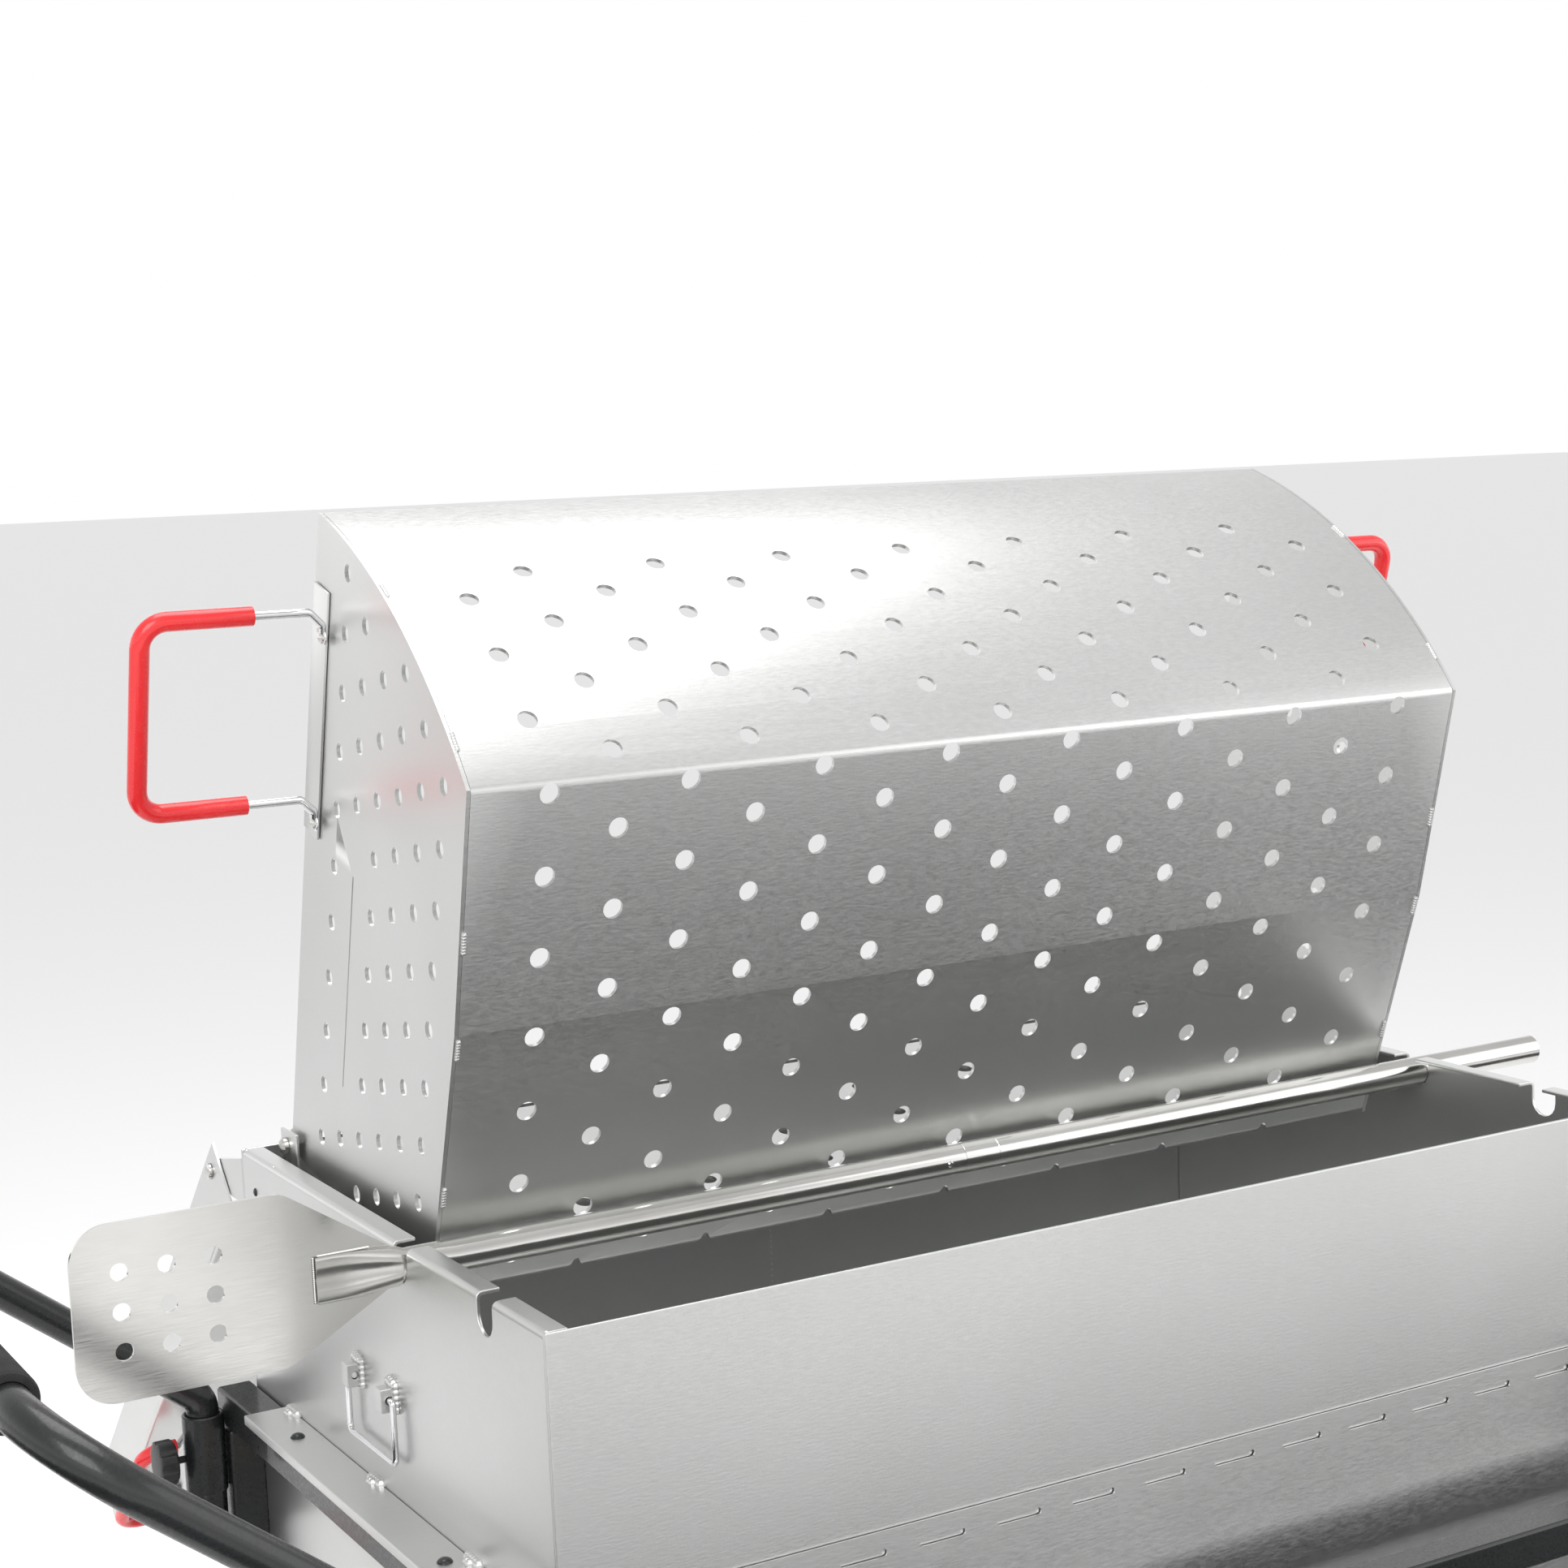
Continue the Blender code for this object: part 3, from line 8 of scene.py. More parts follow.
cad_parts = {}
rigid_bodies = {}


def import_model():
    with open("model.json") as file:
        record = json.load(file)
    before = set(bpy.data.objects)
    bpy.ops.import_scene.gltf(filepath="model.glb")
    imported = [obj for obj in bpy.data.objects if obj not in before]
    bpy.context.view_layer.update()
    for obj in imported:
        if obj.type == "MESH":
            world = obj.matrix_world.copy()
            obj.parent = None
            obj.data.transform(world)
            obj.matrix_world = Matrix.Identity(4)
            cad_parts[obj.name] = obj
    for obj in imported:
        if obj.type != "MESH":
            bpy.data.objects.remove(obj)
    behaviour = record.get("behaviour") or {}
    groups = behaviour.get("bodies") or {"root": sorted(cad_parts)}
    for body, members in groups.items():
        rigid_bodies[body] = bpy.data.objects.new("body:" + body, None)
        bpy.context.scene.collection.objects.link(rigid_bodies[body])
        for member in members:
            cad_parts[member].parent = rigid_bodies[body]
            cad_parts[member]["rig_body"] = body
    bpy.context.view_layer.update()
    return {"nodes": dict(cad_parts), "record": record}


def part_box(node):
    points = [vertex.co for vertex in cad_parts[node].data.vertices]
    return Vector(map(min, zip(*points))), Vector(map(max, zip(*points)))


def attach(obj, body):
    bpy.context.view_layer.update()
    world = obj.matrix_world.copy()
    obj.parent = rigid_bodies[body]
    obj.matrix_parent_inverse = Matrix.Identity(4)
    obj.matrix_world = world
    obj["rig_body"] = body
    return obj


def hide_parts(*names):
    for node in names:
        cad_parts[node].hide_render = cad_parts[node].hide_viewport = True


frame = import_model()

print("frame loaded")

# the tank: half its length, its rear wall from the origin, its plate
tank = dict(half=0.485, rear=0.027, plate=0.003)
# where the CAD stands: middle of the tank, rear rim of the tipped basket, tank rim
tankLow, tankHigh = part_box("tank_wrap")
home = Vector(((tankLow.x + tankHigh.x) / 2, tankHigh.y - tank["rear"], tankHigh.z))
sides = (("left", -1), ("right", 1))


# materials
materialPlan = {
    # colours and roughness from low to high; metal and coat are 0.0 and stretch is even when left out
    "aluminium": dict(dark=(0.66, 0.665, 0.655), light=(0.74, 0.745, 0.735), metal=1.0, rough=(0.30, 0.40),
                      stretch=(3.0, 14.0, 14.0), grain=46.0, cloud=2.6, bump=0.035),
    "stainless": dict(dark=(0.56, 0.55, 0.53), light=(0.74, 0.73, 0.71), metal=1.0, rough=(0.13, 0.22),
                      stretch=(1.0, 30.0, 30.0), grain=60.0, cloud=5.0, bump=0.006),
    "chrome": dict(dark=(0.70, 0.70, 0.71), light=(0.86, 0.86, 0.87), metal=1.0, rough=(0.05, 0.12),
                   grain=180.0, cloud=9.0, bump=0.010),
    "red_vinyl": dict(dark=(0.72, 0.014, 0.018), light=(0.84, 0.026, 0.030), rough=(0.20, 0.32),
                      grain=90.0, cloud=12.0, bump=0.050, coat=0.45),
    "black_frame": dict(dark=(0.006, 0.007, 0.007), light=(0.015, 0.016, 0.017), rough=(0.24, 0.40),
                        grain=420.0, cloud=8.0, bump=0.060, coat=0.25),
    "black_foam": dict(dark=(0.010, 0.010, 0.010), light=(0.030, 0.030, 0.030), rough=(0.78, 0.95),
                       grain=900.0, cloud=40.0, bump=0.350),
    "rubber": dict(dark=(0.012, 0.012, 0.012), light=(0.032, 0.031, 0.030), rough=(0.60, 0.82),
                   grain=260.0, cloud=10.0, bump=0.120),
    "black_plastic": dict(dark=(0.010, 0.010, 0.011), light=(0.024, 0.024, 0.025),
                          rough=(0.34, 0.50), grain=700.0, cloud=20.0, bump=0.080),
    "brass": dict(dark=(0.58, 0.42, 0.16), light=(0.80, 0.62, 0.30), metal=1.0, rough=(0.22, 0.40),
                  grain=160.0, cloud=24.0, bump=0.040),
    "cast_iron": dict(dark=(0.020, 0.020, 0.020), light=(0.070, 0.066, 0.062), metal=0.6, rough=(0.55, 0.80),
                      grain=240.0, cloud=30.0, bump=0.300),
}


def put(node, name, value):
    node.inputs[name].default_value = value


def makeLook(name, plan):
    look = bpy.data.materials.new(name + "Look")
    look.use_nodes = True
    tree = look.node_tree
    shader = tree.nodes["Principled BSDF"]
    put(shader, "Metallic", plan.get("metal", 0.0))
    put(shader, "Coat Weight", plan.get("coat", 0.0))
    coords = tree.nodes.new("ShaderNodeTexCoord")
    mapping = tree.nodes.new("ShaderNodeMapping")
    put(mapping, "Scale", plan.get("stretch", (1.0, 1.0, 1.0)))
    tree.links.new(coords.outputs["Object"], mapping.inputs["Vector"])
    grain = tree.nodes.new("ShaderNodeTexNoise")
    put(grain, "Scale", plan["grain"])
    put(grain, "Detail", 4.0)
    tree.links.new(mapping.outputs["Vector"], grain.inputs["Vector"])
    cloud = tree.nodes.new("ShaderNodeTexNoise")
    put(cloud, "Scale", plan["cloud"])
    put(cloud, "Detail", 3.0)
    tree.links.new(coords.outputs["Object"], cloud.inputs["Vector"])
    ramp = tree.nodes.new("ShaderNodeValToRGB")
    ramp.color_ramp.elements[0].position = 0.30
    ramp.color_ramp.elements[0].color = (*plan["dark"], 1.0)
    ramp.color_ramp.elements[1].position = 0.68
    ramp.color_ramp.elements[1].color = (*plan["light"], 1.0)
    tree.links.new(cloud.outputs["Fac"], ramp.inputs["Fac"])
    tree.links.new(ramp.outputs["Color"], shader.inputs["Base Color"])
    rough = tree.nodes.new("ShaderNodeMapRange")
    put(rough, "From Min", 0.30)
    put(rough, "From Max", 0.70)
    put(rough, "To Min", plan["rough"][0])
    put(rough, "To Max", plan["rough"][1])
    tree.links.new(grain.outputs["Fac"], rough.inputs["Value"])
    tree.links.new(rough.outputs["Result"], shader.inputs["Roughness"])
    bump = tree.nodes.new("ShaderNodeBump")
    put(bump, "Strength", plan["bump"])
    put(bump, "Distance", 0.002)
    tree.links.new(grain.outputs["Fac"], bump.inputs["Height"])
    tree.links.new(bump.outputs["Normal"], shader.inputs["Normal"])
    return look


looks = {name: makeLook(name, plan) for name, plan in materialPlan.items()}
nodeSlots = {part["node"]: part["material_slot"] for part in frame["record"]["subparts"]}
for nodeName, node in frame["nodes"].items():
    node.data.materials.clear()
    node.data.materials.append(looks[nodeSlots[nodeName]])
print("materials made")


# helpers
def linked(name, data):
    piece = bpy.data.objects.new(name, data)
    bpy.context.scene.collection.objects.link(piece)
    return piece


def primitive(name, add, **settings):
    bpy.ops.object.select_all(action="DESELECT")
    add(**settings)
    piece = bpy.context.active_object
    piece.name = name
    return piece


def activate(piece):
    bpy.ops.object.select_all(action="DESELECT")
    piece.select_set(True)
    bpy.context.view_layer.objects.active = piece


def applyAll(piece):
    activate(piece)
    for modifier in list(piece.modifiers):
        bpy.ops.object.modifier_apply(modifier=modifier.name)


def settle(piece, body, slot, *nodes, smooth=30.0):
    piece.data.materials.clear()
    piece.data.materials.append(looks[slot])
    activate(piece)
    bpy.ops.object.shade_smooth_by_angle(angle=math.radians(smooth))
    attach(piece, body)
    if nodes:
        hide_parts(*nodes)
    return piece


def softened(nodeName, width):
    # a copy of a CAD node with its edges rounded
    source = frame["nodes"][nodeName]
    piece = linked(nodeName + "_formed", source.data.copy())
    activate(piece)
    bpy.ops.object.mode_set(mode="EDIT")
    bpy.ops.mesh.select_all(action="SELECT")
    bpy.ops.mesh.remove_doubles(threshold=0.00002)
    bpy.ops.mesh.dissolve_limited(angle_limit=math.radians(1.5))
    bpy.ops.object.mode_set(mode="OBJECT")
    bevelled(piece, width)
    settle(piece, source["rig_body"], nodeSlots[nodeName], nodeName, smooth=46.0)
    # wide faces keep flat normals beside their rounded edges
    even = piece.modifiers.new("normals", "WEIGHTED_NORMAL")
    even.weight = 100
    even.keep_sharp = True
    applyAll(piece)


def meshPiece(name, shape, place=None):
    mesh = bpy.data.meshes.new(name)
    bmesh.ops.recalc_face_normals(shape, faces=shape.faces)
    shape.to_mesh(mesh)
    shape.free()
    mesh.transform(Matrix.Translation(home) @ (place or Matrix.Identity(4)))
    piece = linked(name, mesh)
    return piece


def pull(shape, drawn, step):
    moved = [item for item in drawn["geom"] if isinstance(item, bmesh.types.BMVert)]
    bmesh.ops.translate(shape, verts=moved, vec=step)


def thicken(shape, face, step):
    pull(shape, bmesh.ops.extrude_face_region(shape, geom=[face]), step)


def rodInto(shape, start, end, radius, sideCount=16):
    run = Vector(end) - Vector(start)
    turn = run.to_track_quat("Z", "Y").to_matrix().to_4x4()
    place = Matrix.Translation((Vector(start) + Vector(end)) / 2) @ turn
    bmesh.ops.create_cone(shape, cap_ends=True, segments=sideCount, radius1=radius,
                          radius2=radius, depth=run.length, matrix=place)


def ballInto(shape, centre, radius, squash=(1.0, 1.0, 1.0), sideCount=10):
    place = Matrix.Translation(centre) @ Matrix.Diagonal((*squash, 1.0))
    bmesh.ops.create_uvsphere(shape, u_segments=sideCount, v_segments=sideCount // 2 + 2, radius=radius,
                              matrix=place)


def spunInto(shape, profile, place, steps=48, ring=False):
    knots = [shape.verts.new(place @ Vector((radius, 0.0, height))) for radius, height in profile]
    pairs = list(zip(knots, knots[1:])) + ([(knots[-1], knots[0])] if ring else [])
    edges = [shape.edges.new(pair) for pair in pairs]
    bmesh.ops.spin(shape, geom=knots + edges, cent=place.translation, steps=steps, angle=math.tau,
                   axis=place.to_3x3() @ Vector((0.0, 0.0, 1.0)), use_merge=True)
    bmesh.ops.remove_doubles(shape, verts=shape.verts, dist=0.00001)


def along(origin, towards):
    return Matrix.Translation(origin) @ Vector(towards).to_track_quat("Z", "Y").to_matrix().to_4x4()


def rounded(points, radii, steps=8):
    points = [Vector((*point, 0.0)[:3]) for point in points]
    if not isinstance(radii, (list, tuple)):
        radii = [radii] * (len(points) - 2)
    path = [points[0]]
    for before, corner, after, radius in zip(points, points[1:], points[2:], radii):
        come = (before - corner).normalized()
        leave = (after - corner).normalized()
        half = come.angle(leave) / 2
        centre = corner + (come + leave).normalized() * radius / math.sin(half)
        first = corner + come * radius / math.tan(half) - centre
        last = corner + leave * radius / math.tan(half) - centre
        sweep = first.angle(last)
        for step in range(steps + 1):
            share = step / steps
            spoke = first * math.sin((1 - share) * sweep) + last * math.sin(share * sweep)
            path.append(centre + spoke / math.sin(sweep))
    return path + [points[-1]]


def wireMesh(name, path, radius, place=None, resolution=6):
    curve = bpy.data.curves.new(name, "CURVE")
    curve.dimensions = "3D"
    curve.bevel_depth = radius
    curve.bevel_resolution = resolution
    curve.use_fill_caps = True
    spline = curve.splines.new("POLY")
    spline.points.add(len(path) - 1)
    for knot, point in zip(spline.points, path):
        knot.co = (*point, 1.0)
    thing = linked(name, curve)
    activate(thing)
    bpy.ops.object.convert(target="MESH")
    piece = bpy.context.view_layer.objects.active
    activate(piece)
    bpy.ops.object.mode_set(mode="EDIT")
    bpy.ops.mesh.select_all(action="SELECT")
    bpy.ops.mesh.remove_doubles(threshold=0.00001)
    bpy.ops.mesh.normals_make_consistent(inside=False)
    bpy.ops.object.mode_set(mode="OBJECT")
    piece.data.transform(Matrix.Translation(home) @ (place or Matrix.Identity(4)))
    return piece


def cutBy(piece, cutter):
    cut = piece.modifiers.new("cut", "BOOLEAN")
    cut.operation = "DIFFERENCE"
    cut.solver = "EXACT"
    cut.object = cutter
    applyAll(piece)
    bpy.data.objects.remove(cutter, do_unlink=True)


def bevelled(piece, width, segments=2, angle=32.0):
    bevel = piece.modifiers.new("edges", "BEVEL")
    bevel.width = width
    bevel.segments = segments
    bevel.limit_method = "ANGLE"
    bevel.angle_limit = math.radians(angle)
    applyAll(piece)
    return piece


# basket: a perforated wrap between two end plates, tipped up on its rear rim
basket = dict(length=0.900, wall=0.003, rim=0.546, fold=0.438, depth=0.302, bend=0.253, bendDepth=0.308,
              rear=0.033, rearDepth=0.295, arc=0.521, tip=73.2, rise=0.010, hole=0.00775, pitch=0.1106,
              row=0.031, firstRow=0.0085, arcRows=7, sideHole=0.0068, sideRow=0.0473, sideColumn=0.0395,
              sideShear=0.0193, columns=6, firstDepth=0.263, firstBack=0.426, margin=0.0145,
              markStart=0.090, markEnd=0.310, lug=0.013, foldRadius=0.007, gap=0.0003, coarse=6, fine=20,
              lastRow=0.0170, relief=0.0078, pivotHole=0.0046, drillReach=0.010, markInset=0.020,
              groove=0.0012)
tip = math.radians(basket["tip"])
pivot = Vector((0.0, -basket["rise"] / 2 / math.tan(tip / 2), basket["rise"] / 2))
corner = Vector((-pivot.y, basket["rise"] - pivot.z))
basketPlace = Matrix.Translation(pivot) @ Matrix.Rotation(-tip, 4, "X")


def fromCorner(forward, down):
    return Vector((corner.x - forward, corner.y - down))


def frontArc(steps):
    rim, fold = fromCorner(basket["rim"], 0.0), fromCorner(basket["fold"], basket["depth"])
    chord = fold - rim
    inward = Vector((-chord.y, chord.x)).normalized()
    centre = (rim + fold) / 2 + inward * math.sqrt(basket["arc"] ** 2 - chord.length_squared / 4)
    first = math.atan2(rim.y - centre.y, rim.x - centre.x) % math.tau
    last = math.atan2(fold.y - centre.y, fold.x - centre.x) % math.tau
    angles = [first + (last - first) * step / steps for step in range(steps + 1)]
    return [centre + Vector((math.cos(angle), math.sin(angle))) * basket["arc"] for angle in angles]


def basketProfile(steps):
    return frontArc(steps) + [fromCorner(basket["bend"], basket["bendDepth"]),
                              fromCorner(basket["rear"], basket["rearDepth"]), fromCorner(0.0, 0.0)]


def lengthOf(points):
    return sum((b - a).length for a, b in zip(points, points[1:]))


def placeOn(profile, distance):
    for a, b in zip(profile, profile[1:]):
        length = (b - a).length
        if distance <= length:
            run = (b - a) / length
            return a + run * distance, Vector((-run.y, run.x))
        distance -= length


def makeWrap():
    coarse = basketProfile(basket["coarse"])
    fine = basket["fine"]
    smooth = basketProfile(fine)
    folds = rounded(smooth[fine - 1:], [basket["foldRadius"]] * 3, 5)
    path = smooth[:fine] + [Vector(point[:2]) for point in folds][1:]
    inner = basket["length"] / 2 - basket["wall"] - basket["gap"]
    shape = bmesh.new()
    knots = [shape.verts.new((-inner, point.x, point.y)) for point in path]
    edges = [shape.edges.new(pair) for pair in zip(knots, knots[1:])]
    pull(shape, bmesh.ops.extrude_edge_only(shape, edges=edges), (2 * inner, 0.0, 0.0))
    mesh = bpy.data.meshes.new("basket_sheet")
    shape.to_mesh(mesh)
    shape.free()
    mesh.transform(Matrix.Translation(home) @ basketPlace)
    wrap = linked("basket_sheet", mesh)
    shell = wrap.modifiers.new("wall", "SOLIDIFY")
    shell.thickness = basket["wall"]
    shell.offset = 1.0
    shell.use_even_offset = True
    applyAll(wrap)
    drills = bmesh.new()
    first = lengthOf(frontArc(basket["coarse"])) + basket["firstRow"] - basket["arcRows"] * basket["row"]
    room = lengthOf(coarse) - basket["row"] - basket["lastRow"] - first
    for k in range(int(room / basket["row"]) + 1):
        point, normal = placeOn(coarse, first + k * basket["row"])
        reach = Vector((0.0, *normal)) * 3 * basket["wall"]
        count = int((basket["length"] - basket["pitch"]) / basket["pitch"])
        count += (k - basket["arcRows"]) % 2 == 0
        for j in range(count):
            spot = Vector(((j - (count - 1) / 2) * basket["pitch"], *point))
            rodInto(drills, spot - reach, spot + reach, basket["hole"], 18)
    for label, side in sides:
        # room for the pivot bolt's end
        start = (side * (inner + 0.001), 0.0, 0.0)
        rodInto(drills, start, (side * (inner - basket["relief"]), 0.0, 0.0), basket["relief"], 20)
    cutBy(wrap, meshPiece("drills", drills, basketPlace))
    return settle(wrap, "basket", "aluminium", "basket_wrap", smooth=22.0)


def onCircle(a, b, radius):
    run = b - a
    slope = a.dot(run) / run.length_squared
    return a + run * (math.sqrt(slope ** 2 - (a.length_squared - radius ** 2) / run.length_squared) - slope)


def sideOutline(steps):
    path = basketProfile(steps)
    rear = onCircle(path[-1], path[-2], basket["lug"])
    rim = onCircle(path[-1], path[0], basket["lug"])
    start, stop = math.atan2(rear.y, rear.x), math.atan2(rim.y, rim.x)
    lug = [Vector((math.cos(angle), math.sin(angle))) * basket["lug"]
           for angle in (start + (stop - start) * step / 16 for step in range(17))]
    return path[:-1] + lug


def roomIn(point, outline):
    odd, nearest = False, math.inf
    for a, b in zip(outline, outline[1:] + outline[:1]):
        if (a.y > point.y) != (b.y > point.y):
            odd ^= point.x < (b.x - a.x) * (point.y - a.y) / (b.y - a.y) + a.x
        share = max(0.0, min(1.0, (point - a).dot(b - a) / (b - a).length_squared))
        nearest = min(nearest, (point - a - (b - a) * share).length)
    return nearest if odd else -nearest


def sideHolePlaces():
    outline = sideOutline(basket["coarse"])
    places = []
    for column in range(basket["columns"]):
        down = basket["firstDepth"] - column * basket["sideColumn"]
        for row in range(-basket["columns"], int(basket["rim"] / basket["sideRow"]) + 1):
            forward = basket["firstBack"] - column * basket["sideShear"] - row * basket["sideRow"]
            spot = fromCorner(forward, down)
            marked = column == basket["columns"] - 2 and basket["markStart"] < forward < basket["markEnd"]
            if roomIn(spot, outline) > basket["margin"] and not marked and spot.length > 2 * basket["lug"]:
                places.append(spot)
    return places


def makeSides():
    outline = sideOutline(basket["fine"])
    markDepth = basket["firstDepth"] - (basket["columns"] - 2) * basket["sideColumn"]
    for label, side in sides:
        shape = bmesh.new()
        outer = side * basket["length"] / 2
        face = shape.faces.new([shape.verts.new((outer, *point)) for point in outline])
        thicken(shape, face, (-side * basket["wall"], 0.0, 0.0))
        plate = meshPiece("basket_end_" + label, shape, basketPlace)
        drills = bmesh.new()
        low, high = outer - basket["drillReach"], outer + basket["drillReach"]
        for spot in sideHolePlaces():
            rodInto(drills, (low, *spot), (high, *spot), basket["sideHole"], 18)
        rodInto(drills, (low, 0.0, 0.0), (high, 0.0, 0.0), basket["pivotHole"], 18)
        cutBy(plate, meshPiece("drills", drills, basketPlace))
        # the long shallow groove of the level mark
        start = fromCorner(basket["markEnd"] - basket["markInset"], markDepth)
        end = fromCorner(basket["markStart"] + basket["markInset"], markDepth)
        groove = bmesh.new()
        rodInto(groove, (outer, *start), (outer, *end), basket["groove"], 8)
        cutBy(plate, meshPiece("groove", groove, basketPlace))
        settle(plate, "basket", "aluminium", "basket_side_" + label, smooth=22.0)


makeWrap()
makeSides()
print("basket made")


# weld beads and strips on the basket
trim = dict(shares=(0.12, 0.27, 0.42, 0.50, 0.62, 0.78, 0.93), run=0.016, inset=0.0035, sunk=0.0004,
            bead=0.0019, low=(0.493, 0.0325), high=(0.291, 0.0025), strip=0.0022, edge=0.0007)


def beadInto(shape, start, end, size, count):
    start, end = Vector(start), Vector(end)
    run = end - start
    for k in range(count):
        spot = start + run * (k + 0.5) / count
        ballInto(shape, spot, size, sideCount=8)


def makeBasketTrim():
    profile = basketProfile(basket["coarse"])
    total = lengthOf(profile)
    for label, side in sides:
        beads = bmesh.new()
        seam = side * (basket["length"] / 2 - trim["inset"])
        for share in trim["shares"]:
            point = placeOn(profile, total * share)[0]
            after, normal = placeOn(profile, total * share + trim["run"])
            sunk = normal * trim["sunk"]
            beadInto(beads, (seam, *(point - sunk)), (seam, *(after - sunk)), trim["bead"], 7)
        settle(meshPiece("seam_welds_" + label, beads, basketPlace), "basket", "aluminium")
        strip = bmesh.new()
        low = fromCorner(*trim["low"])
        high = fromCorner(*trim["high"])
        outer = side * (basket["length"] / 2 + basket["gap"])
        inner = outer + side * trim["strip"]
        middle = ((outer + inner) / 2, (low.x + high.x) / 2, (low.y + high.y) / 2)
        size = (abs(outer - inner), high.x - low.x, high.y - low.y)
        place = Matrix.Translation(middle) @ Matrix.Diagonal((*size, 1.0))
        bmesh.ops.create_cube(strip, size=1.0, matrix=place)
        doubler = bevelled(meshPiece("handle_doubler_" + label, strip, basketPlace), trim["edge"])
        settle(doubler, "basket", "aluminium")


makeBasketTrim()


# wire handles with dipped red sleeves
handle = dict(rearLeg=0.327, span=0.152, reach=0.146, wire=0.0035, corner=0.020, crank=0.022, grip=0.0075,
              gripLeg=0.085, notch=0.0275, strip=0.0025, footBend=0.0035, gripEnd=0.0024, foot=0.006,
              tab=0.0065, tabOut=0.0018, tabBack=0.001, head=0.0012)
handleScrew = [(0.0, 0.0030), (0.0022, 0.0027), (0.0042, 0.0014), (0.0045, 0.0), (0.0, 0.0)]


def gripMesh(name, path, radius, place):
    # a sleeve whose two ends are rounded over the wire
    sleeve = wireMesh(name, path, radius, place, resolution=8)
    return bevelled(sleeve, handle["gripEnd"], 3, 60.0)


def makeBasketHandles():
    outside = basket["length"] / 2 + basket["gap"] + handle["strip"]
    drop = basket["rise"] + handle["notch"] - handle["wire"] - basket["gap"]
    legs = [fromCorner(handle["rearLeg"], drop), fromCorner(handle["rearLeg"] + handle["span"], drop)]
    near = outside + basket["gap"] + handle["wire"]
    for label, side in sides:
        reach = side * (basket["length"] / 2 + handle["reach"])
        path = []
        screws = bmesh.new()
        tabs = bmesh.new()
        for leg, order in zip(legs, (1, -1)):
            foot = (side * near, leg.x + handle["crank"] - handle["foot"], leg.y)
            heel = (side * near, leg.x + handle["crank"] / 2, leg.y)
            knee = (side * (near + handle["crank"] / 2), leg.x, leg.y)
            path += [foot, heel, knee, (reach, leg.x, leg.y)][::order]
            back = leg.x + handle["crank"] - handle["tabBack"]
            centre = Vector((side * (outside + handle["tabOut"]), back, leg.y))
            ballInto(tabs, centre, handle["tab"], squash=(0.28, 1.0, 0.95), sideCount=20)
            head = centre + Vector((side * handle["head"], 0.0, 0.0))
            spunInto(screws, handleScrew, along(head, (side, 0.0, 0.0)), 20)
        bends = [handle["footBend"], handle["crank"] / 3, handle["corner"]]
        path = rounded(path, bends + bends[::-1])
        wire = wireMesh("handle_wire_" + label, path, handle["wire"], basketPlace)
        settle(wire, "basket", "chrome", "basket_handle_" + label)
        settle(meshPiece("handle_feet_" + label, tabs, basketPlace), "basket", "chrome")
        settle(meshPiece("handle_screws_" + label, screws, basketPlace), "basket", "stainless")
        start = reach - side * handle["gripLeg"]
        ends = [(start, legs[0].x, legs[0].y), (reach, legs[0].x, legs[0].y),
                (reach, legs[1].x, legs[1].y), (start, legs[1].x, legs[1].y)]
        path = rounded(ends, handle["corner"], 10)
        grip = gripMesh("handle_grip_" + label, path, handle["grip"], basketPlace)
        settle(grip, "basket", "red_vinyl", "basket_grip_" + label, smooth=40.0)


makeBasketHandles()
print("basket handles made")


# turned pieces
def spunPiece(name, profile, place, body, slot, *nodes, ring=False, steps=48, smooth=30.0):
    shape = bmesh.new()
    spunInto(shape, profile, place, steps, ring)
    return settle(meshPiece(name, shape), body, slot, *nodes, smooth=smooth)


# stir paddle: a two-part tube with a pressed flat end and a perforated blade
paddle = dict(tube=0.0125, wall=0.0012, right=0.618, joint=0.010, collar=0.032, neck=0.0122, neckEnd=0.4875,
              flat=0.0168, thick=0.0036, blade=0.0025, far=0.720, shoulder=0.570, top=0.052, bottom=-0.074,
              corner=0.028, hole=0.0064, step=0.033, climb=0.028, inset=0.034, clear=0.0015, root=0.012,
              press=0.440, pressStep=0.006, pressSteps=16, ends=(0.542, 0.548), ring=40, square=0.55,
              dent=0.0026, dentWide=0.0042, bead=0.0011, sunk=0.0004)
paddleAxis = Vector((0.0, -handle["rearLeg"], basket["gap"] + paddle["tube"] - handle["notch"]))
paddlePlace = Matrix.Translation(paddleAxis)


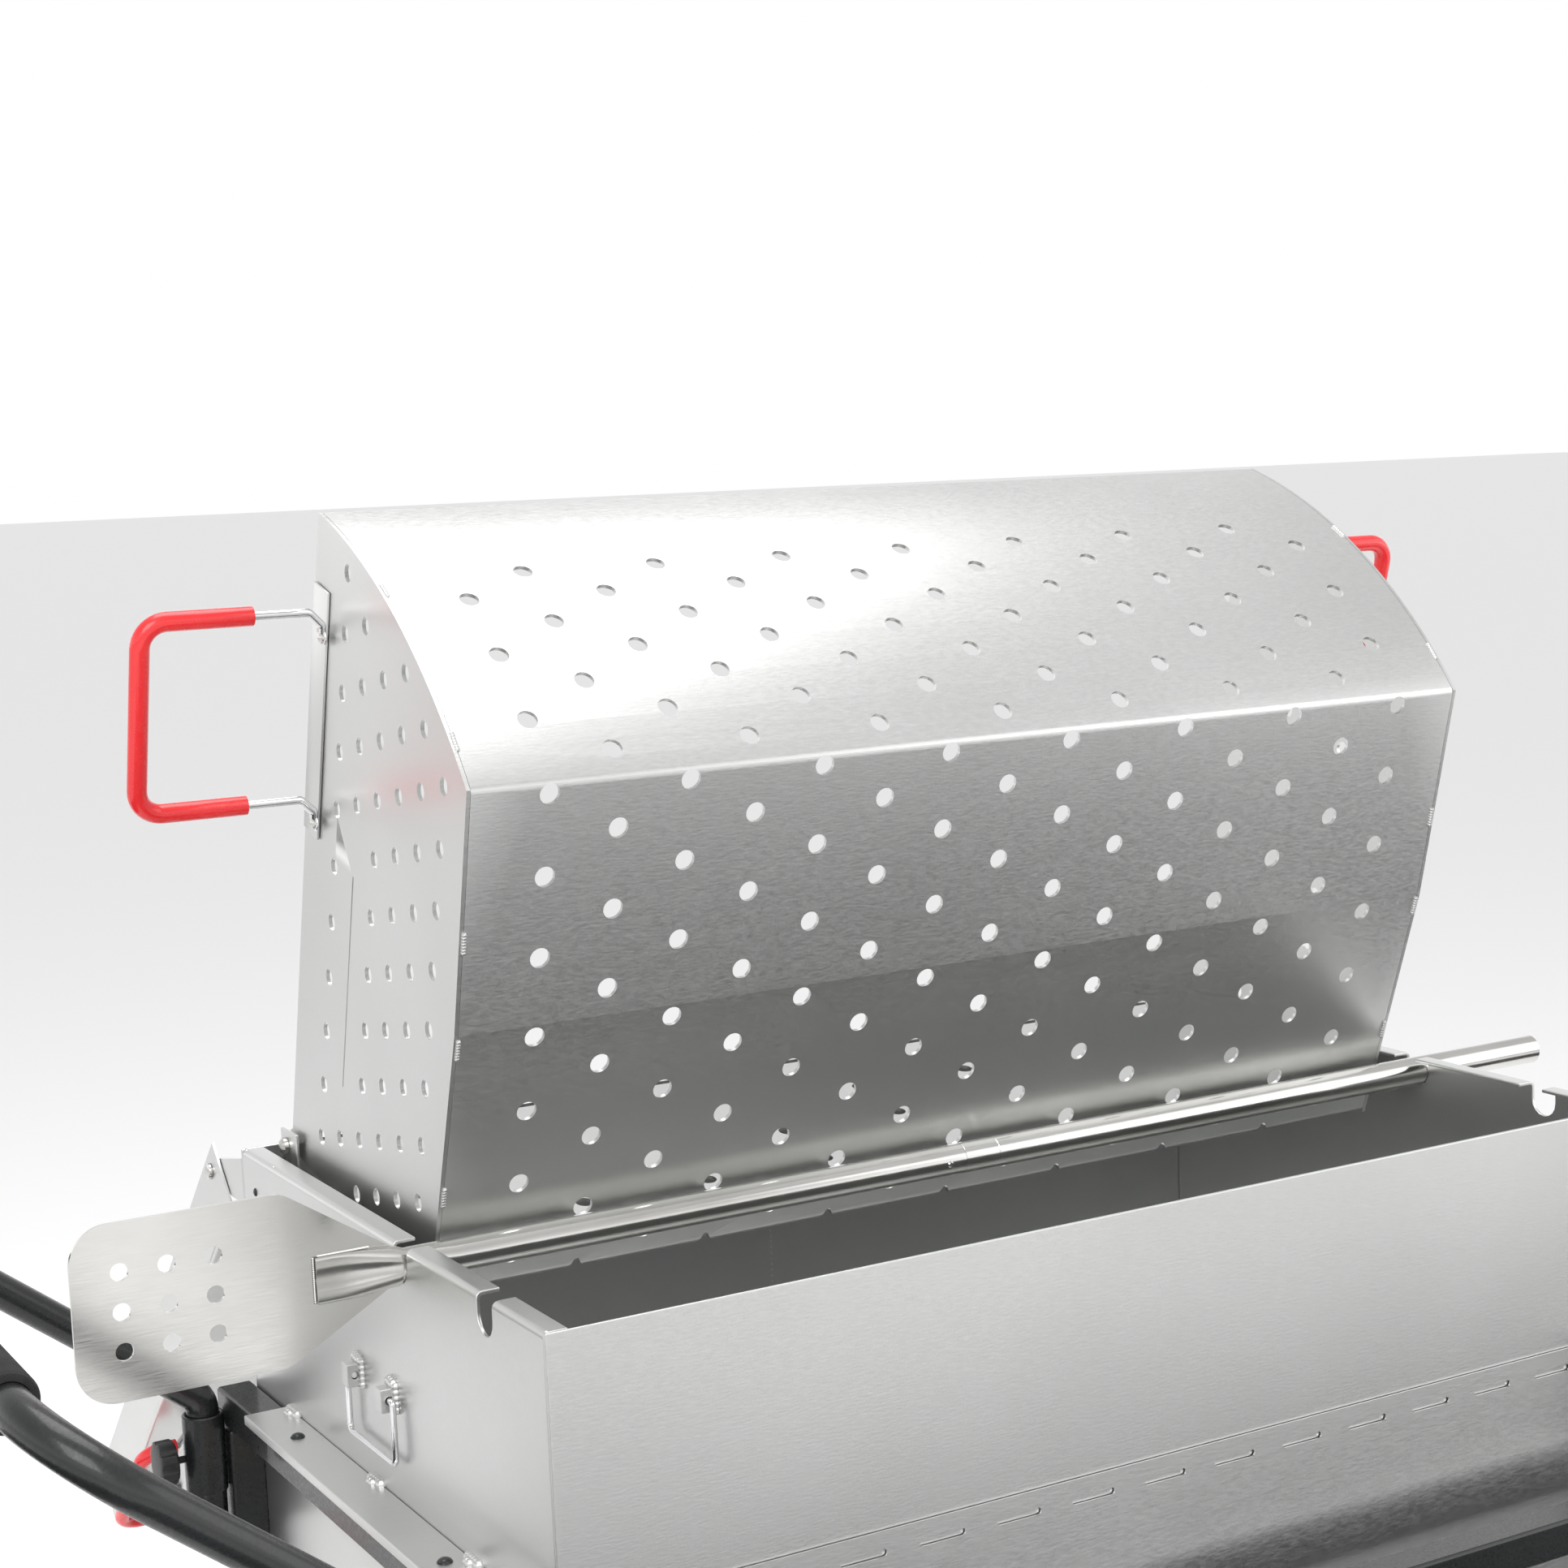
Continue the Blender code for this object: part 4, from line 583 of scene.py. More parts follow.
def makePaddle():
    rim = paddle["tube"]
    bore = rim - paddle["wall"]
    joint = paddle["joint"] - paddle["collar"] / 2
    # the left half: round, then pressed flat past the tank's end
    shape = bmesh.new()
    rings = []
    press, step, count = -paddle["press"], paddle["pressStep"], paddle["pressSteps"]
    spans = [(joint - 0.0004, 0.0), (joint - 0.0012, 0.0), (-0.30, 0.0), (press, 0.0)]
    spans += [(press - step * k, k / count) for k in range(1, count + 1)]
    spans += [(-end, 1.0) for end in paddle["ends"]]
    for x, press in spans:
        press = press * press * (3 - 2 * press)
        high = rim + (paddle["flat"] - rim) * press
        deep = rim + (paddle["thick"] / 2 - rim) * press
        reach = min(high, paddle["neck"]) if x > -paddle["neckEnd"] else high
        ring = []
        for k in range(paddle["ring"]):
            angle = math.tau * k / paddle["ring"]
            c, s = math.cos(angle), math.sin(angle)
            square = 1.0 - paddle["square"] * press
            y = deep * math.copysign(abs(c) ** square, c)
            z = reach * math.copysign(abs(s) ** square, s)
            dent = paddle["dent"] * press * math.exp(-(z / paddle["dentWide"]) ** 2) if c < 0 else 0.0
            ring.append(shape.verts.new((x, y + dent, z)))
        rings.append(ring)
    for a, b in zip(rings, rings[1:]):
        for k, after in enumerate([*range(1, paddle["ring"]), 0]):
            shape.faces.new((a[k], a[after], b[after], b[k]))
    shape.faces.new(rings[0])
    shape.faces.new(rings[-1])
    settle(meshPiece("paddle_left_tube", shape, paddlePlace), "paddle", "stainless", "paddle_tube_left",
           smooth=50.0)
    # the right half with its collar line and open end
    right = [(0.0, -0.04), (0.011, -0.04), (0.011, 0.0), (rim - 0.0004, 0.0), (rim, 0.0004),
             (rim, paddle["collar"] - 0.0006), (rim - 0.0005, paddle["collar"]),
             (rim, paddle["collar"] + 0.0006),
             (rim, paddle["right"] - joint - 0.0005), (rim - 0.0005, paddle["right"] - joint),
             (bore, paddle["right"] - joint), (bore, paddle["collar"]), (0.0, paddle["collar"])]
    spunPiece("paddle_right_tube", right, paddlePlace @ along((joint, 0.0, 0.0), (1, 0, 0)), "paddle",
              "stainless", "paddle_tube_right")
    snap = [(0.0, 0.0012), (0.0016, 0.0010), (0.0026, 0.0002), (0.0028, -0.0010), (0.0, -0.0010)]
    spunPiece("paddle_snap_button", snap, paddlePlace @ along((joint - 0.016, -rim, 0.0), (0, -1, 0)),
              "paddle", "stainless", steps=20)
    # the blade
    rise = paddleAxis.z
    edge = tank["half"] + paddle["clear"]
    points = [(-edge, paddle["root"]), (-paddle["shoulder"], paddle["top"] - rise),
              (-paddle["far"], paddle["top"] - rise),
              (-paddle["far"], paddle["bottom"] - rise), (-paddle["shoulder"], paddle["bottom"] - rise),
              (-edge, -paddle["root"])]
    front = paddle["thick"] / 2 + basket["gap"]
    shape = bmesh.new()
    outline = rounded(points, paddle["corner"], 10)
    face = shape.faces.new([shape.verts.new((point.x, front, point.y)) for point in outline])
    thicken(shape, face, (0.0, paddle["blade"], 0.0))
    blade = meshPiece("paddle_flat_blade", shape, paddlePlace)
    drills = bmesh.new()
    middle = (paddle["top"] + paddle["bottom"]) / 2 - rise
    for i in range(3):
        for j in (-1, 0, 1):
            spot = (-paddle["far"] + paddle["inset"] + i * paddle["step"], middle + j * paddle["climb"])
            rodInto(drills, (spot[0], -0.01, spot[1]), (spot[0], 0.02, spot[1]), paddle["hole"], 28)
    cutBy(blade, meshPiece("drills", drills, paddlePlace))
    settle(blade, "paddle", "stainless", "paddle_blade", smooth=25.0)
    # the weld line round the pressed end
    beads = bmesh.new()
    for start, end, count in (((-0.549, -0.0165), (-0.549, 0.0165), 22),
                              ((-0.546, 0.0172), (-0.507, 0.0172), 26),
                              ((-0.546, -0.0172), (-0.507, -0.0172), 26)):
        level = front - paddle["sunk"]
        beadInto(beads, (start[0], level, start[1]), (end[0], level, end[1]), paddle["bead"], count)
    settle(meshPiece("paddle_weld", beads, paddlePlace), "paddle", "stainless")


makePaddle()
print("paddle made")


# lid: a shallow pan, open at its rear, hanging behind the tank
lid = dict(length=0.600, skirt=0.062, wall=0.002, space=0.0006, back=0.080, drop=0.035, inset=0.013,
           end=0.025, hang=43.5, fold=0.004, front=0.059, lift=0.018, foot=0.018, reach=0.068,
           proud=0.011, grip=0.030, bore=0.0036, screwBack=0.0006, bends=(0.005, 0.006),
           feet=((-0.0012, 0.0078, 0.30), (0.0022, 0.0042, 0.55)), footIn=0.006)
# the pivot bolts: where the bracket stands, its plate, the end plate, spare
pivotBolt = dict(bracket=0.4535, plate=0.003, wall=0.0035, spare=0.0006)
lidAxis = Vector((0.0, tank["rear"] + lid["back"], -lid["drop"]))
lidPlace = Matrix.Translation(lidAxis) @ Matrix.Rotation(-math.radians(180.0 + lid["hang"]), 4, "X")


def makeLid():
    half = tank["half"] + lid["space"] + lid["wall"]
    top = lid["skirt"] - lid["inset"]
    pan = primitive("lid_shell", bpy.ops.mesh.primitive_cube_add, size=1.0)
    pan.data.transform(Matrix.Translation((0.0, (lid["end"] - lid["length"]) / 2, (top - lid["inset"]) / 2))
                       @ Matrix.Diagonal((2 * half, lid["length"] + lid["end"], top + lid["inset"], 1.0)))
    shape = bmesh.new()
    shape.from_mesh(pan.data)
    loose = [face for face in shape.faces if face.normal.z < -0.5 or face.normal.y > 0.5]
    bmesh.ops.delete(shape, geom=loose, context="FACES_ONLY")
    folds = [edge for edge in shape.edges if not edge.is_boundary]
    bmesh.ops.bevel(shape, geom=folds, offset=lid["fold"], segments=5, profile=0.5, affect="EDGES")
    shape.to_mesh(pan.data)
    shape.free()
    pan.data.transform(Matrix.Translation(home) @ lidPlace)
    shell = pan.modifiers.new("wall", "SOLIDIFY")
    shell.thickness = lid["wall"]
    shell.offset = -1.0
    shell.use_even_offset = True
    applyAll(pan)
    bores = bmesh.new()
    rodInto(bores, (-2 * half, 0.0, 0.0), (2 * half, 0.0, 0.0), lid["bore"], 20)
    cutBy(pan, meshPiece("bores", bores, lidPlace))
    settle(pan, "lid", "aluminium", "lid_pan", smooth=35.0)
    for label, side in sides:
        level = top + basket["gap"] + handle["wire"]
        height = level + lid["lift"]
        reach = side * (half + lid["proud"])
        knee = reach - side * (lid["reach"] - 2 * lid["foot"])
        path = []
        feet = bmesh.new()
        low = lid["front"] - lid["length"]
        high = low + handle["span"]
        for y, order in ((low, 1), (high, -1)):
            start = reach - side * lid["reach"]
            path += [(start, y, level), (start + side * lid["foot"], y, level), (knee, y, height),
                     (reach, y, height)][::order]
            for lift, size, flat in lid["feet"]:
                spot = (start + side * lid["footIn"], y, level + lift)
                ballInto(feet, spot, size, squash=(1.0, 1.0, flat), sideCount=20)
        bends = [*lid["bends"], handle["corner"]]
        settle(wireMesh("lid_wire_" + label, rounded(path, bends + bends[::-1]), handle["wire"], lidPlace),
               "lid", "chrome", "lid_handle_" + label)
        settle(meshPiece("lid_handle_feet_" + label, feet, lidPlace), "lid", "chrome")
        start = reach - side * lid["grip"]
        ends = [(start, low, height), (reach, low, height), (reach, high, height), (start, high, height)]
        path = rounded(ends, handle["corner"], 10)
        grip = gripMesh("lid_sleeve_" + label, path, handle["grip"], lidPlace)
        settle(grip, "lid", "red_vinyl", "lid_grip_" + label, smooth=40.0)
        stack = tank["plate"] + lid["space"] + lid["wall"] + lid["screwBack"]
        head = Matrix.Translation(lidAxis) @ along((side * (half + basket["gap"]), 0, 0), (-side, 0, 0))
        screw = [(0.0, -0.0036), (0.004, -0.0034), (0.0064, -0.0022), (0.007, -0.0006), (0.007, 0.0),
                 (0.003, 0.0), (0.003, stack), (0.0055, stack), (0.0055, stack + 0.0036),
                 (0.005, stack + 0.004), (0.0, stack + 0.004)]
        spunPiece("lid_screw_formed_" + label, screw, head, "stand", "stainless", "lid_screw_" + label,
                  steps=28)
        bolt = pivotBolt["wall"] + basket["wall"] + pivotBolt["plate"] + pivotBolt["spare"]
        start = side * (pivotBolt["bracket"] + pivotBolt["plate"] + basket["gap"])
        place = Matrix.Translation(pivot) @ along((start, 0.0, 0.0), (-side, 0, 0))
        shank = [(0.0, -0.005), (0.005, -0.0048), (0.0068, -0.0034), (0.007, 0.0), (0.004, 0.0),
                 (0.004, bolt), (0.0065, bolt), (0.0065, bolt + 0.0045), (0.0055, bolt + 0.005),
                 (0.0, bolt + 0.005)]
        spunPiece("pivot_bolt_formed_" + label, shank, place, "stand", "stainless", "pivot_bolt_" + label,
                  steps=28)


makeLid()
print("lid made")


# push handle, sleeves and knobs
push = dict(x=-(0.5003 + 0.015 + 0.0003 + 0.0173), rear=0.026, front=-0.640, top=-0.216, tail=0.095,
            rise=0.012, reach=0.284, slope=38.0, tube=0.0135, bend=0.020, corner=0.075, sleeve=0.0173,
            length=0.066, foot=0.034, footRadius=0.0157, foam=0.0195, foamLength=0.500, knob=0.022,
            knobLength=0.016, knobNeck=0.008, knobDrop=0.036, play=0.0006, lobe=0.0052, lobes=8,
            lobePast=0.002)


def makePushHandle():
    climb = push["reach"] * math.tan(math.radians(push["slope"]))
    far = (push["x"] - push["reach"], push["top"] + push["rise"] + climb)
    path = []
    for y, order in ((push["rear"], 1), (push["front"], -1)):
        path += [(push["x"], y, push["top"] - push["tail"]), (push["x"], y, push["top"] + push["rise"]),
                 (far[0], y, far[1])][::order]
    bends = [push["bend"], push["corner"]]
    tube = wireMesh("push_tube", rounded(path, bends + bends[::-1], 14), push["tube"], resolution=12)
    settle(tube, "handle", "black_frame", "push_handle", smooth=40.0)
    middle = (push["rear"] + push["front"]) / 2
    half = push["foamLength"] / 2
    foam = [(push["tube"] + 0.0004, -half), (push["foam"] - 0.004, -half),
            (push["foam"] - 0.0012, -half + 0.0012),
            (push["foam"], -half + 0.004), (push["foam"], half - 0.004),
            (push["foam"] - 0.0012, half - 0.0012), (push["foam"] - 0.004, half),
            (push["tube"] + 0.0004, half)]
    spunPiece("push_foam", foam, along((far[0], middle, far[1]), (0, 1, 0)), "handle", "black_foam",
              "push_grip", ring=True)
    eye, foot = push["tube"] + push["play"], push["length"] + push["foot"]
    profile = [(eye, -0.001), (eye + 0.001, 0.0), (push["sleeve"] - 0.001, 0.0), (push["sleeve"], -0.001),
               (push["sleeve"], -push["length"] + 0.001), (push["sleeve"] - 0.0012, -push["length"]),
               (push["footRadius"], -push["length"] - 0.004), (push["footRadius"], -foot), (eye, -foot)]
    for label, y in (("rear", push["rear"]), ("front", push["front"])):
        spunPiece("sleeve_" + label, profile, Matrix.Translation((push["x"], y, push["top"])), "stand",
                  "black_frame", "handle_sleeve_" + label, ring=True)
        spot = (push["x"] - push["sleeve"] - basket["gap"], y, push["top"] - push["knobDrop"])
        knob = bmesh.new()
        neck, deep, wide = push["knobNeck"], push["knobLength"], push["knob"]
        outline = [(0.0, 0.0), (0.003, 0.0), (0.003, neck), (wide * 0.55, neck), (wide * 0.80, neck + 0.001),
                   (wide - 0.003, neck + 0.003), (wide - 0.003, neck + deep - 0.004),
                   (wide * 0.86, neck + deep - 0.001), (wide * 0.6, neck + deep), (0.0, neck + deep)]
        place = along(spot, (-1, 0, 0))
        spunInto(knob, outline, place, 48)
        piece = meshPiece("knob_" + label, knob)
        lobes = bmesh.new()
        for k in range(push["lobes"]):
            angle = math.tau * k / push["lobes"]
            ends = [place @ Vector((math.cos(angle) * wide, math.sin(angle) * wide, height))
                    for height in (neck - push["lobePast"], neck + deep + push["lobePast"])]
            rodInto(lobes, *ends, push["lobe"], 20)
        cutBy(piece, meshPiece("lobes", lobes))
        bevelled(piece, 0.0007, 2, 40.0)
        settle(piece, "knob_" + label, "black_plastic", "clamp_knob_" + label)


makePushHandle()
print("push handle made")


# wheels, axle, drain and gas parts
wheel = dict(x=0.5003, height=-0.713, radius=0.127, width=0.045, tyre=0.032, hub=0.024, eye=0.0086,
             web=0.010, rearY=0.0695, frontY=-0.6835, axle=0.008, axleEnds=(-0.714, 0.100), axleEdge=0.0015,
             groove=0.0022, grooveStep=0.0065)


def makeWheels():
    wide, felloe = wheel["width"] / 2, wheel["radius"] - wheel["tyre"]
    for label, y in (("rear", wheel["rearY"]), ("front", wheel["frontY"])):
        place = along((wheel["x"], y, wheel["height"]), (0, 1, 0))
        tread = [(felloe, -wide), (wheel["radius"] - 0.012, -wide), (wheel["radius"] - 0.005, -wide + 0.002),
                 (wheel["radius"] - 0.001, -wide + 0.007)]
        for k in range(5):
            at = (k - 2) * wheel["grooveStep"]
            floor = wheel["radius"] - wheel["groove"]
            tread += [(wheel["radius"], at - 0.0022), (wheel["radius"], at + 0.0018),
                      (floor, at + 0.0024), (floor, at + 0.0036)]
        tread = tread[:-2] + [(radius, -height) for radius, height in tread[3::-1]]
        spunPiece("tyre_formed_" + label, tread, place, "wheel_" + label, "rubber", "tyre_" + label,
                  ring=True, steps=96)
        edge = felloe - basket["gap"]
        thin, hub, eye, web = edge - 0.008, wheel["hub"], wheel["eye"], wheel["web"]
        half = [(eye, -wide), (hub - 0.002, -wide), (hub, -wide + 0.002), (hub + 0.001, -web - 0.004),
                (hub + 0.005, -web), (thin - 0.008, -web), (thin - 0.002, -web - 0.003),
                (thin, -wide + 0.003), (thin + 0.003, -wide), (edge, -wide)]
        rim = half + [(radius, -height) for radius, height in half[::-1]]
        spunPiece("hub_formed_" + label, rim, place, "wheel_" + label, "black_plastic", "wheel_hub_" + label,
                  ring=True, steps=72)
    low, high = wheel["axleEnds"]
    rod, end = wheel["axle"], wheel["axleEdge"]
    shaft = [(0.0, 0.0), (rod - end, 0.0), (rod, end), (rod, high - low - end), (rod - end, high - low),
             (0.0, high - low)]
    spunPiece("axle_rod", shaft, along((wheel["x"], low, wheel["height"]), (0, 1, 0)), "stand", "stainless",
              "axle")


drain = dict(y=-0.200, z=-0.318, pipe=0.0125, ball=0.020, out=0.055, half=0.016, mouth=0.012, wall=0.003,
             swell=0.032)
burnerBar = dict(radius=0.020, ports=40, inset=0.04, lean=0.6, port=0.0022, foot=0.011, footIn=0.024)


def makeDrainAndGas():
    wide = drain["out"] + drain["half"]
    narrow = drain["out"] - drain["half"]
    pipe = drain["pipe"]
    mouth = wide + drain["mouth"]
    profile = [(0.0, -0.003), (pipe, -0.003), (pipe, narrow - 0.008), (pipe + 0.003, narrow - 0.007),
               (pipe + 0.003, narrow - 0.001), (pipe, narrow)]
    swell = drain["ball"] - pipe
    profile += [(pipe + swell * math.sin(math.pi * k / 12) ** 0.5, narrow + drain["swell"] * k / 12)
                for k in range(1, 12)]
    profile += [(pipe, wide), (pipe + 0.0012, wide + 0.002), (pipe, wide + 0.004), (pipe, mouth - 0.001),
                (pipe - 0.001, mouth), (pipe - drain["wall"], mouth), (pipe - drain["wall"], wide),
                (0.0, wide)]
    place = along((-tank["half"], drain["y"], drain["z"]), (-1, 0, 0))
    spunPiece("drain_body", profile, place, "stand", "brass", "drain_valve")
    nut = [(0.0, 0.0), (0.0042, 0.0), (0.0042, 0.0032), (0.0036, 0.0038), (0.0, 0.0038)]
    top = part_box("drain_lever")[1].z - home.z
    place = Matrix.Translation((-tank["half"] - drain["out"], drain["y"], top))
    spunPiece("drain_lever_nut", nut, place, "drain", "stainless", steps=6, smooth=20.0)
    low, high = (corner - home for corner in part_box("burner"))
    radius, y = burnerBar["radius"], (low.y + high.y) / 2
    level = high.z - radius
    shape = bmesh.new()
    rodInto(shape, (low.x, y, level), (high.x, y, level), radius, 40)
    burner = meshPiece("burner_bar", shape)
    ports = bmesh.new()
    count, inset = burnerBar["ports"], burnerBar["inset"]
    for k in range(count):
        x = low.x + inset + (high.x - low.x - 2 * inset) * k / (count - 1)
        for lean in (-burnerBar["lean"], burnerBar["lean"]):
            ends = [(x, y + math.sin(lean) * out, level + math.cos(lean) * out)
                    for out in (radius + 0.002, radius - 0.004)]
            rodInto(ports, *ends, burnerBar["port"], 8)
    cutBy(burner, meshPiece("ports", ports))
    feet = bmesh.new()
    for x in (low.x + burnerBar["footIn"], high.x - burnerBar["footIn"]):
        rodInto(feet, (x, y, low.z), (x, y, level - 0.010), burnerBar["foot"], 24)
    settle(burner, "stand", "cast_iron", "burner")
    settle(meshPiece("burner_feet", feet), "stand", "cast_iron")
    low, high = (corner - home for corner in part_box("gas_knob"))
    middle = ((low.x + high.x) / 2, high.y, (low.z + high.z) / 2)
    knob = bmesh.new()
    outline = [(0.0, 0.0), (0.004, 0.0), (0.004, 0.005), (0.0195, 0.005), (0.021, 0.0065), (0.0205, 0.010),
               (0.0165, 0.013), (0.0160, 0.0205), (0.0145, 0.022), (0.0, 0.022)]
    spunInto(knob, outline, along(middle, (0, -1, 0)), 48)
    piece = bevelled(meshPiece("gas_knob_formed", knob), 0.0004, 2, 30.0)
    settle(piece, "gas_tap", "black_plastic", "gas_knob")


makeWheels()
makeDrainAndGas()
print("wheels, drain and burner made")


# small hardware on the tank: bail, welds, bolts and rivets
hardware = dict(bailY=-0.231, bailSpan=0.069, bailDrop=0.120, bailLength=0.047, bailWire=0.0024, clip=0.012,
                clipDeep=0.013, ledgeDrop=0.198, ledgeWelds=(-0.072, -0.256, -0.440),
                ledgeBolts=(-0.127, -0.427), clipSide=0.0064, bends=(0.0026, 0.006, 0.006, 0.0026),
                weld=0.4866, rivets=((-0.005, -0.030), (-0.012, -0.052)), rims=(0.0215, -0.0465, -0.5725))


def domeInto(shape, spot, towards, radius, height):
    profile = [(0.0, height), (radius * 0.45, height * 0.92), (radius * 0.8, height * 0.6),
               (radius, height * 0.12), (radius, 0.0), (0.0, 0.0)]
    part = bmesh.new()
    spunInto(part, profile, along(spot, towards), 20)
    mesh = bpy.data.meshes.new("dome")
    part.to_mesh(mesh)
    part.free()
    shape.from_mesh(mesh)
    bpy.data.meshes.remove(mesh)


def makeHardware():
    x = -tank["half"] - hardware["clipDeep"] / 2
    near = hardware["bailY"] + hardware["clip"]
    far = hardware["bailY"] - hardware["bailSpan"] - hardware["clip"]
    drop = -hardware["bailDrop"]
    path = [(x, hardware["bailY"] - hardware["clip"] / 3, drop), (x, near, drop),
            (x, near, drop - hardware["bailLength"]), (x, far, drop - hardware["bailLength"]), (x, far, drop),
            (x, hardware["bailY"] - hardware["bailSpan"] + hardware["clip"] / 3, drop)]
    settle(wireMesh("bail_wire_formed", rounded(path, hardware["bends"]), hardware["bailWire"]),
           "bail_wire", "chrome", "bail")
    welds = bmesh.new()
    bolts = bmesh.new()
    weld = hardware["weld"]
    for y in (hardware["bailY"], hardware["bailY"] - hardware["bailSpan"]):
        for lean in (-1, 1):
            spot = y + lean * hardware["clipSide"]
            beadInto(welds, (-0.4862, spot, drop - 0.010), (-0.4862, spot, drop + 0.012), 0.0036, 5)
        beadInto(welds, (-weld, y - 0.005, drop + 0.0105), (-weld, y + 0.005, drop + 0.0125), 0.0044, 3)
    for label, side in sides:
        for y in hardware["ledgeWelds"]:
            level = -hardware["ledgeDrop"] + 0.0005
            beadInto(welds, (side * weld, y - 0.011, level), (side * weld, y + 0.011, level), 0.0048, 5)
            beadInto(welds, (side * 0.4905, y - 0.004, level), (side * 0.4905, y + 0.005, level), 0.0040, 2)
        for y in hardware["ledgeBolts"]:
            domeInto(bolts, (side * 0.5030, y, -hardware["ledgeDrop"]), (0, 0, 1), 0.0058, 0.0034)
        for y, z in hardware["rivets"]:
            domeInto(bolts, (side * tank["half"], y, z), (side, 0, 0), 0.0036, 0.0016)
        for y in hardware["rims"]:
            beadInto(welds, (side * 0.4815, y, -0.0010), (side * 0.4815, y + 0.002, -0.0010), 0.0016, 2)
        # welds of the pivot bracket's foot inside the tank
        beadInto(welds, (side * 0.4812, -0.026, -0.0365), (side * 0.4812, 0.004, -0.0365), 0.0016, 9)
    settle(meshPiece("tank_welds", welds), "stand", "aluminium")
    settle(meshPiece("tank_bolts", bolts), "stand", "black_frame")
    # the seam of the tank's rear wall
    seam = bmesh.new()
    beadInto(seam, (0.010, 0.0240, -0.010), (0.010, 0.0240, -0.330), 0.0011, 60)
    settle(meshPiece("rear_wall_seam", seam), "stand", "aluminium")


makeHardware()
print("hardware made")


# front panel below the tank, with a row of slots
panel = dict(length=2 * tank["half"], near=-0.5805, far=-0.5790, top=-0.187, bottom=-0.470, slot=0.038,
             pitch=0.0645, height=0.0055, drop=0.013, reach=0.010, through=0.030)


def makeFrontPanel():
    plate = primitive("panel_front_sheet", bpy.ops.mesh.primitive_cube_add, size=1.0)
    middle = (0.0, (panel["near"] + panel["far"]) / 2, (panel["top"] + panel["bottom"]) / 2)
    size = (panel["length"], panel["far"] - panel["near"], panel["top"] - panel["bottom"], 1.0)
    plate.data.transform(Matrix.Translation(home) @ Matrix.Translation(middle) @ Matrix.Diagonal(size))
    slots = bmesh.new()
    half, end = panel["height"] / 2, (panel["slot"] - panel["height"]) / 2
    level = panel["top"] - panel["drop"] - half
    for k in range(-7, 8):
        ring = []
        x = k * panel["pitch"]
        for side in (1, -1):
            for step in range(9):
                angle = math.pi * step / 8 - math.pi / 2
                across = x + side * (end + half * math.cos(angle))
                up = level + side * half * math.sin(angle)
                ring.append(slots.verts.new((across, panel["near"] - panel["reach"], up)))
        face = slots.faces.new(ring)
        thicken(slots, face, (0.0, panel["through"], 0.0))
    cutBy(plate, meshPiece("slots", slots))
    settle(plate, "stand", "aluminium", "panel_front", smooth=20.0)


makeFrontPanel()
print("front panel made")


# rounded edges for the folded and square parts that keep their shape
edgeWidths = dict(tank_wrap=0.0010, tank_end_=0.0008, ledge_=0.0010, panel_=0.0004, pivot_bracket_=0.0010,
                  lid_bracket_=0.0008, side_rail_=0.0012, post_front_=0.0012, post_rear_=0.0012,
                  mid_rail_front=0.0012, mid_rail_rear=0.0012, burner_tray=0.0008, rubber_foot_front=0.0015,
                  rubber_foot_rear=0.0015, drain_lever=0.0006, drain_grip=0.0018)
for nodeName, width in edgeWidths.items():
    # a name ending in _ stands for left and right
    for end in ("left", "right") if nodeName.endswith("_") else ("",):
        softened(nodeName + end, width)
print("edges rounded")


# floor, light and camera
studio = dict(floor=400.0, sunk=0.0005, paper=0.96, strength=1.42, card=0.03, cardLift=0.004,
              aim=(0.0, -0.1, 0.9), lens=62.24, camera=(-1.1594, -2.1199, 0.5384),
              turn=(83.431, 2.442, -29.603))
# how bright the tent is, from straight down (0.0) to straight up (1.0)
tentLevels = ((0.57, 0.92), (0.68, 0.60), (0.82, 0.46), (1.0, 0.62))


def makeStage():
    floor = primitive("studio_floor", bpy.ops.mesh.primitive_plane_add, size=studio["floor"],
                      location=(0.0, 0.0, -studio["sunk"]))
    paint = bpy.data.materials.new("studioPaper")
    paint.use_nodes = True
    shader = paint.node_tree.nodes["Principled BSDF"]
    put(shader, "Base Color", (*[studio["paper"]] * 3, 1.0))
    put(shader, "Roughness", 0.9)
    floor.data.materials.append(paint)


